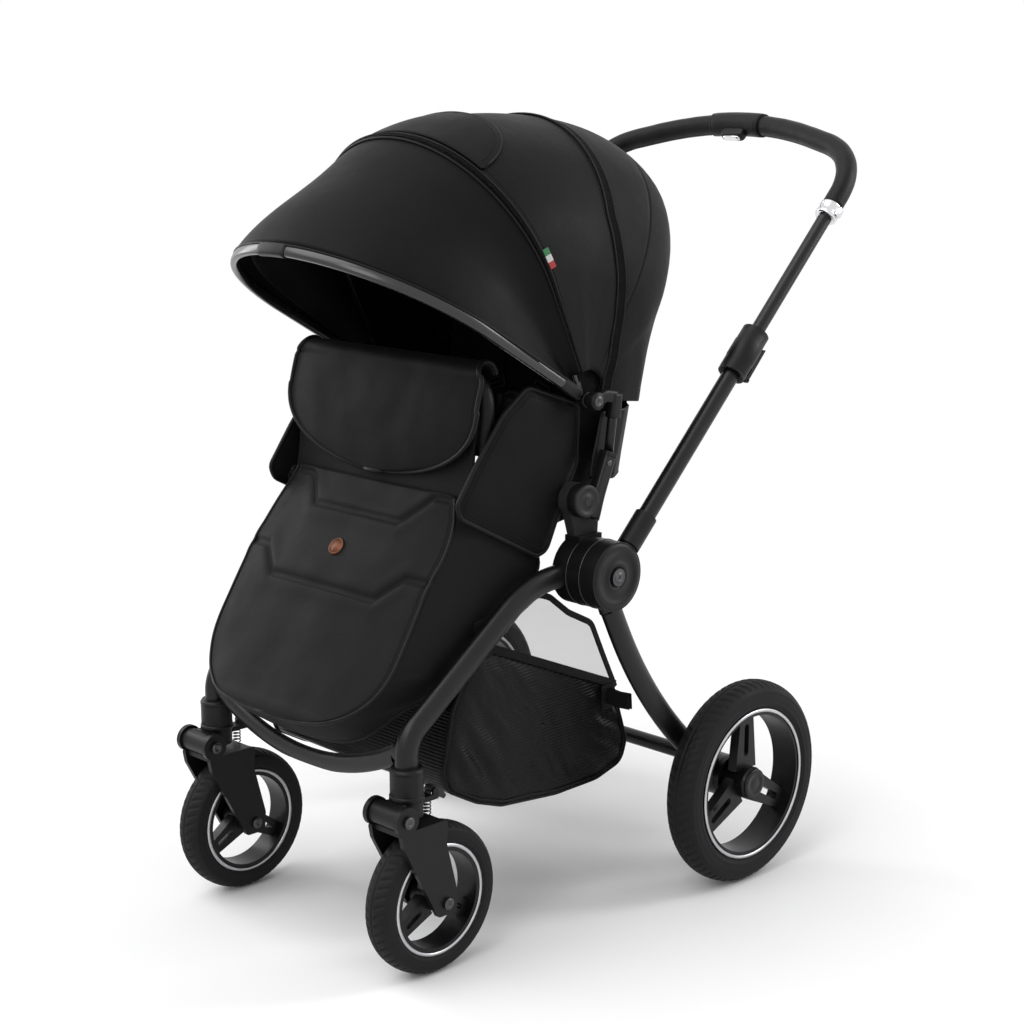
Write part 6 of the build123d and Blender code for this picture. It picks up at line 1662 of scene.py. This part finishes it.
# Side plates of the board's shell, in behind the arms
PLATE = [((14, 124), (60, 119), (74, 124), (88, 126), (101, 128)),
         ((19, 150), (66, 150), (80, 152), (94, 154), (106, 156)),
         ((28, 182), (74, 182), (88, 184), (100, 186), (112, 188)),
         ((36, 212), (82, 212), (95, 214), (106, 214), (118, 214))]
ACROSS = (212.5, 212.5, 208.0, 194.0, 181.0)
for side in SIDES.values():
    rows = []
    for t in np.linspace(0, 3, 34):
        low = int(min(t, 2))
        corners = [np.array(a) * (1 - t + low) + np.array(b) * (t - low) for a,
                   b in zip(PLATE[low], PLATE[low + 1])]
        line = fillet_line([hub(side * x, *p) for x, p in zip(ACROSS, corners)], [12, 8, 8], 3.0)
        rows.append(resample(line, 40))
    plate = recalc(grid_piece("plate", np.array(rows), plastic))
    if plate.data.polygons[400].normal.x * side < 0:
        plate.data.flip_normals()
    parts.append(thicken(plate, 3.0))
    rim = [np.array(rows)[0], np.array(rows)[:, 0]]
    for line in rim:
        parts.append(tube("plate_rim", line - np.array([side * 1.5, 0, 0]), 3.6, plastic, 10))
ride(join("back_board_cover", parts), "backrest", "shell_fabric", "back_board")

# Arms from the recline knobs up to the hood's joints
parts = []
for side in SIDES.values():
    x = side * 226.8
    knob_at, joint_at = hub(x, -17, 100), hub(x, 5, 232)
    parts.append(solid_lathe("drum", [(0.2, -8.5), (20.6, -8.5), (22.4, -7.6), (23.0, -6.0), (23.0, 6.0),
                                      (22.4, 7.6), (20.6, 8.5), (0.2, 8.5)], knob_at, plastic, 72))
    foot, head, top = (np.array(hub(x, *p), float) for p in ((-3, 74), (33, 158), (44, 238)))
    line = resample(np.array([foot, head]), 24)
    share = np.linspace(0, 1, 24)
    parts.append(sweep("arm_sleeve", line, ring_profile(16.8, 20.5, 32, 4.5), powder, up=(0, 1, 0),
                       scale=1.0 + 0.16 * np.exp(-(share / 0.25) ** 2)))
    parts.append(sweep("sleeve_lip", resample(np.array([head - (head - foot) * 0.05,
                                                        head + (head - foot) * 0.015]), 8),
                       ring_profile(18.6, 22.4, 32, 4.5), plastic, up=(0, 1, 0)))
    parts.append(tube("arm_tube", np.array([head, (head + top) / 2, top]), 13.0, powder, 24, rounded=False))
    parts.append(sweep("arm_collar", resample(np.array([hub(x, 40.5, 206), top]), 12),
                       ring_profile(16.4, 19.0, 32, 4), plastic, up=(0, 1, 0)))
    plate = [hub(x, 5, 232), hub(x, 24, 237), hub(x, 43, 233)]
    parts.append(sweep("joint_arm", resample(np.array(plate), 20), ring_profile(13.2, 17.0, 28, 4.5),
                       plastic, up=(0, 0, 1)))
    parts.append(solid_lathe("joint_boss", [(0.2, -7.6), (10.4, -7.6), (12.0, -6.4), (12.4, -4.8),
                                            (12.4, 4.8),
                                            (12.0, 6.6), (10.4, 7.8), (0.2, 7.8)], joint_at, plastic, 56))
    parts.append(solid_lathe("joint_pin", [(0.2, -28.0), (3.9, -28.0), (3.9, 0), (0.2, 0)],
                             np.array(joint_at) * np.array([1, 1, 1]), steel, 24, (side, 0, 0)))
    screw = np.array(hub(x + side * 8.6, 26, 146))
    parts.append(solid_lathe("sleeve_screw", [(0.2, 1.2), (1.6, 1.4), (2.2, 0.9), (3.6, 1.5), (4.4, 0.4),
                             (4.4, -2), (0.2, -2)], screw, steel, 32, (side, 0, 0)))
ride(join("back_arm_set", parts), "backrest", "frame_black", "back_arms")

# ----------------------------------------------------------------- fabric between the wings and the back
for side_name, side in SIDES.items():
    front = smooth_line([hub(side * 184.0, *p) for p in ((-44, 60), (-16, 110), (2, 146), (8, 190),
                        (10, 219), (-30, 232))], 60)
    rear = smooth_line([hub(side * x, *p) for x,
                        p in ((170, (62, 74)), (178, (90, 112)), (179, (98, 146)), (179, (107, 190)),
                                                       (179, (116, 236)), (178, (124, 272)))], 60)
    rows = []
    for i, (a, b) in enumerate(zip(front, rear)):
        row = []
        for t in np.linspace(0, 1, 34):
            slack = math.sin(math.pi * t)
            fold = noise.fractal(Vector((i * 0.05, t * 3.1, 4.0 + side)), 1.0, 2.0, 2)
            gather = math.sin(i * 0.42 + 3 * t) * 1.2
            p = a * (1 - t) + b * t + np.array([side * (slack * (2.0 + 3.5 * fold) + gather * slack), 0, 0])
            row.append(p)
        rows.append(row)
    cloth = recalc(grid_piece("liner", np.array(rows), lining))
    if cloth.data.polygons[500].normal.x * side < 0:
        cloth.data.flip_normals()
    liner = join(f"seat_side_liner_{side_name}", [thicken(cloth, 1.6),
                                                  tube("liner_hem", front, 3.2, piping, 8)])
    bend(liner, "seat_base", "backrest", np.array(hub(0, 6, 150)) * MM, np.array(hub(0, 100, 150)) * MM,
         "lining_fabric")

# ----------------------------------------------------------------- straps of the basket
parts = []
for side in SIDES.values():
    x = side * 189.4
    front = resample(np.array([hub(x, -166, -98), hub(x, -169, -70), hub(x, -172, -43)]), 30)
    parts.append(sweep("front_strap", front, ring_profile(2.0, 26, 16, 5), webbing, up=(0, 1, 0.1)))
    parts.append(rounded_box("front_tab", (3.4, 17, 14), hub(side * 191.0, -171.5, -67), np.eye(3), webbing,
                             5, 8, 24))
    parts.append(solid_lathe("strap_snap", [(0.2, 1.3), (3.6, 1.3), (4.8, 0.5), (5.6, 1.2), (6.2, 0.4),
                                            (6.2, -1.0), (0.2, -1)],
                             hub(side * 190.6, -168, -88), steel, 36, (side, 0, 0)))
    for shift in (-11.2, 11.2):
        row = front + np.array([side * 1.1, shift, 0])
        parts.append(stitches("strap_row", row[2:-2], (side, 0, 0), thread, 4.4, 3.0, 0.9))
ride(join("basket_front_straps", parts), "chassis", "webbing", "basket_straps")
for side_name, side in SIDES.items():
    x = side * 189.4
    parts = [sweep("rear_patch", resample(np.array([hub(x, 77, -222), hub(x, 77, -186)]), 20),
                   ring_profile(2.0, 25, 16, 5), webbing, up=(0, 1, 0))]
    reach = resample(np.array([hub(side * 190.6, 78, -202), hub(side * 212, 78, -203.5),
                               hub(side * 232, 78, -202)]), 26)
    for lift in (-2.6, 2.6):
        line = reach + np.array([0, lift, 0])
        parts.append(sweep("rear_strap", line, ring_profile(2.0, 23, 16, 5), webbing, up=(0, 0, 1)))
    patch_row = resample(np.array([hub(side * 190.6, 68, -219), hub(side * 190.6, 86, -219),
                                   hub(side * 190.6, 86, -190),
                                   hub(side * 190.6, 68, -190), hub(side * 190.6, 68, -219)]), 80)
    parts.append(stitches("patch_row", patch_row, (side, 0, 0), thread, 4.4, 3.0, 0.9))
    strap = join(f"basket_rear_strap_{side_name}", parts)
    ride(strap, "chassis", "webbing")
    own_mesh(strap)



# ----------------------------------------------------------------- studio
def area_light(name, place, aim, width, height, power):
    data = bpy.data.lights.new(name, "AREA")
    data.shape = "RECTANGLE"
    data.size, data.size_y = width, height
    data.energy = power
    light = bpy.data.objects.new(name, data)
    bpy.context.scene.collection.objects.link(light)
    light.location = place
    light.rotation_euler = (Vector(aim) - Vector(place)).to_track_quat("-Z", "Y").to_euler()
    return light


# The floor takes shadows near the object and gives way to the white backdrop further out
floor_mat = material("studio_floor", (0.93, 0.93, 0.93), 0.8, specular=0.1)
grain(floor_mat, add_node(floor_mat, "ShaderNodeTexCoord"), 400, 0.02, 0.0002)
spot = add_node(floor_mat, "ShaderNodeTexCoord")
reach = add_node(floor_mat, "ShaderNodeVectorMath", operation="LENGTH")
link(floor_mat, spot, "Object", reach, "Vector")
fade = add_node(floor_mat, "ShaderNodeMapRange", interpolation_type="SMOOTHSTEP")
fade.inputs["From Min"].default_value = 0.9
fade.inputs["From Max"].default_value = 1.9
link(floor_mat, reach, "Value", fade, "Value")
clear = add_node(floor_mat, "ShaderNodeBsdfTransparent")
blend = add_node(floor_mat, "ShaderNodeMixShader")
link(floor_mat, fade, "Result", blend, "Fac")
floor_mat.node_tree.links.new(floor_mat.node_tree.nodes["Principled BSDF"].outputs["BSDF"], blend.inputs[1])
floor_mat.node_tree.links.new(clear.outputs["BSDF"], blend.inputs[2])
link(floor_mat, blend, "Shader", floor_mat.node_tree.nodes["Material Output"], "Surface")
floor = make_mesh("studio_floor", [(-2000, -2000, 0), (2000, -2000, 0), (2000, 2000, 0), (-2000, 2000, 0)],
                  [(0, 1, 2, 3)], floor_mat, smooth=False)

world = bpy.data.worlds.new("studio")
bpy.context.scene.world = world
world.use_nodes = True
nodes, links = world.node_tree.nodes, world.node_tree.links
nodes.clear()
soft = nodes.new("ShaderNodeBackground")
soft.inputs["Color"].default_value = (1, 1, 1, 1)
soft.inputs["Strength"].default_value = 0.5
white = nodes.new("ShaderNodeBackground")
white.inputs["Color"].default_value = (1, 1, 1, 1)
white.inputs["Strength"].default_value = 1.0
path = nodes.new("ShaderNodeLightPath")
pick = nodes.new("ShaderNodeMixShader")
seen = nodes.new("ShaderNodeMath")
seen.operation = "MAXIMUM"
through = nodes.new("ShaderNodeMath")
through.operation = "MAXIMUM"
target = nodes.new("ShaderNodeOutputWorld")
links.new(path.outputs["Is Camera Ray"], seen.inputs[0])
links.new(path.outputs["Is Glossy Ray"], seen.inputs[1])
links.new(seen.outputs["Value"], through.inputs[0])
links.new(path.outputs["Is Transmission Ray"], through.inputs[1])
links.new(through.outputs["Value"], pick.inputs["Fac"])
links.new(soft.outputs["Background"], pick.inputs[1])
links.new(white.outputs["Background"], pick.inputs[2])
links.new(pick.outputs["Shader"], target.inputs["Surface"])

def sun_light(name, toward, power, spread):
    data = bpy.data.lights.new(name, "SUN")
    data.energy = power
    data.angle = spread
    light = bpy.data.objects.new(name, data)
    bpy.context.scene.collection.objects.link(light)
    light.rotation_euler = Vector(toward).to_track_quat("-Z", "Y").to_euler()
    return light


lights = [sun_light("sky", (0.25, 0.55, -1.0), 1.5, 0.9),
          area_light("key", (1.4, -3.0, 2.6), (0, 0, 0.6), 1.6, 1.6, 28),
          area_light("rim", (1.9, 2.3, 1.9), (0, 0, 0.6), 0.9, 2.0, 36),
          area_light("left", (-2.6, -0.8, 1.5), (0, 0, 0.6), 0.9, 2.2, 24)]

camera_data = bpy.data.cameras.new("camera")
camera_data.lens = 69.57
camera_data.sensor_width = 36.0
camera_data.shift_y = 0.0215
camera = bpy.data.objects.new("camera", camera_data)
bpy.context.scene.collection.objects.link(camera)
CAMERA_AT = (1.9954, -2.0198, 1.1500)        # fitted to the wheels of the photograph
CAMERA_LOOK = (-0.6907, 0.6873, -0.2250)
camera.location = CAMERA_AT
camera.rotation_euler = Vector(CAMERA_LOOK).to_track_quat("-Z", "Y").to_euler()
bpy.context.scene.camera = camera
bpy.context.scene.view_settings.view_transform = "Standard"
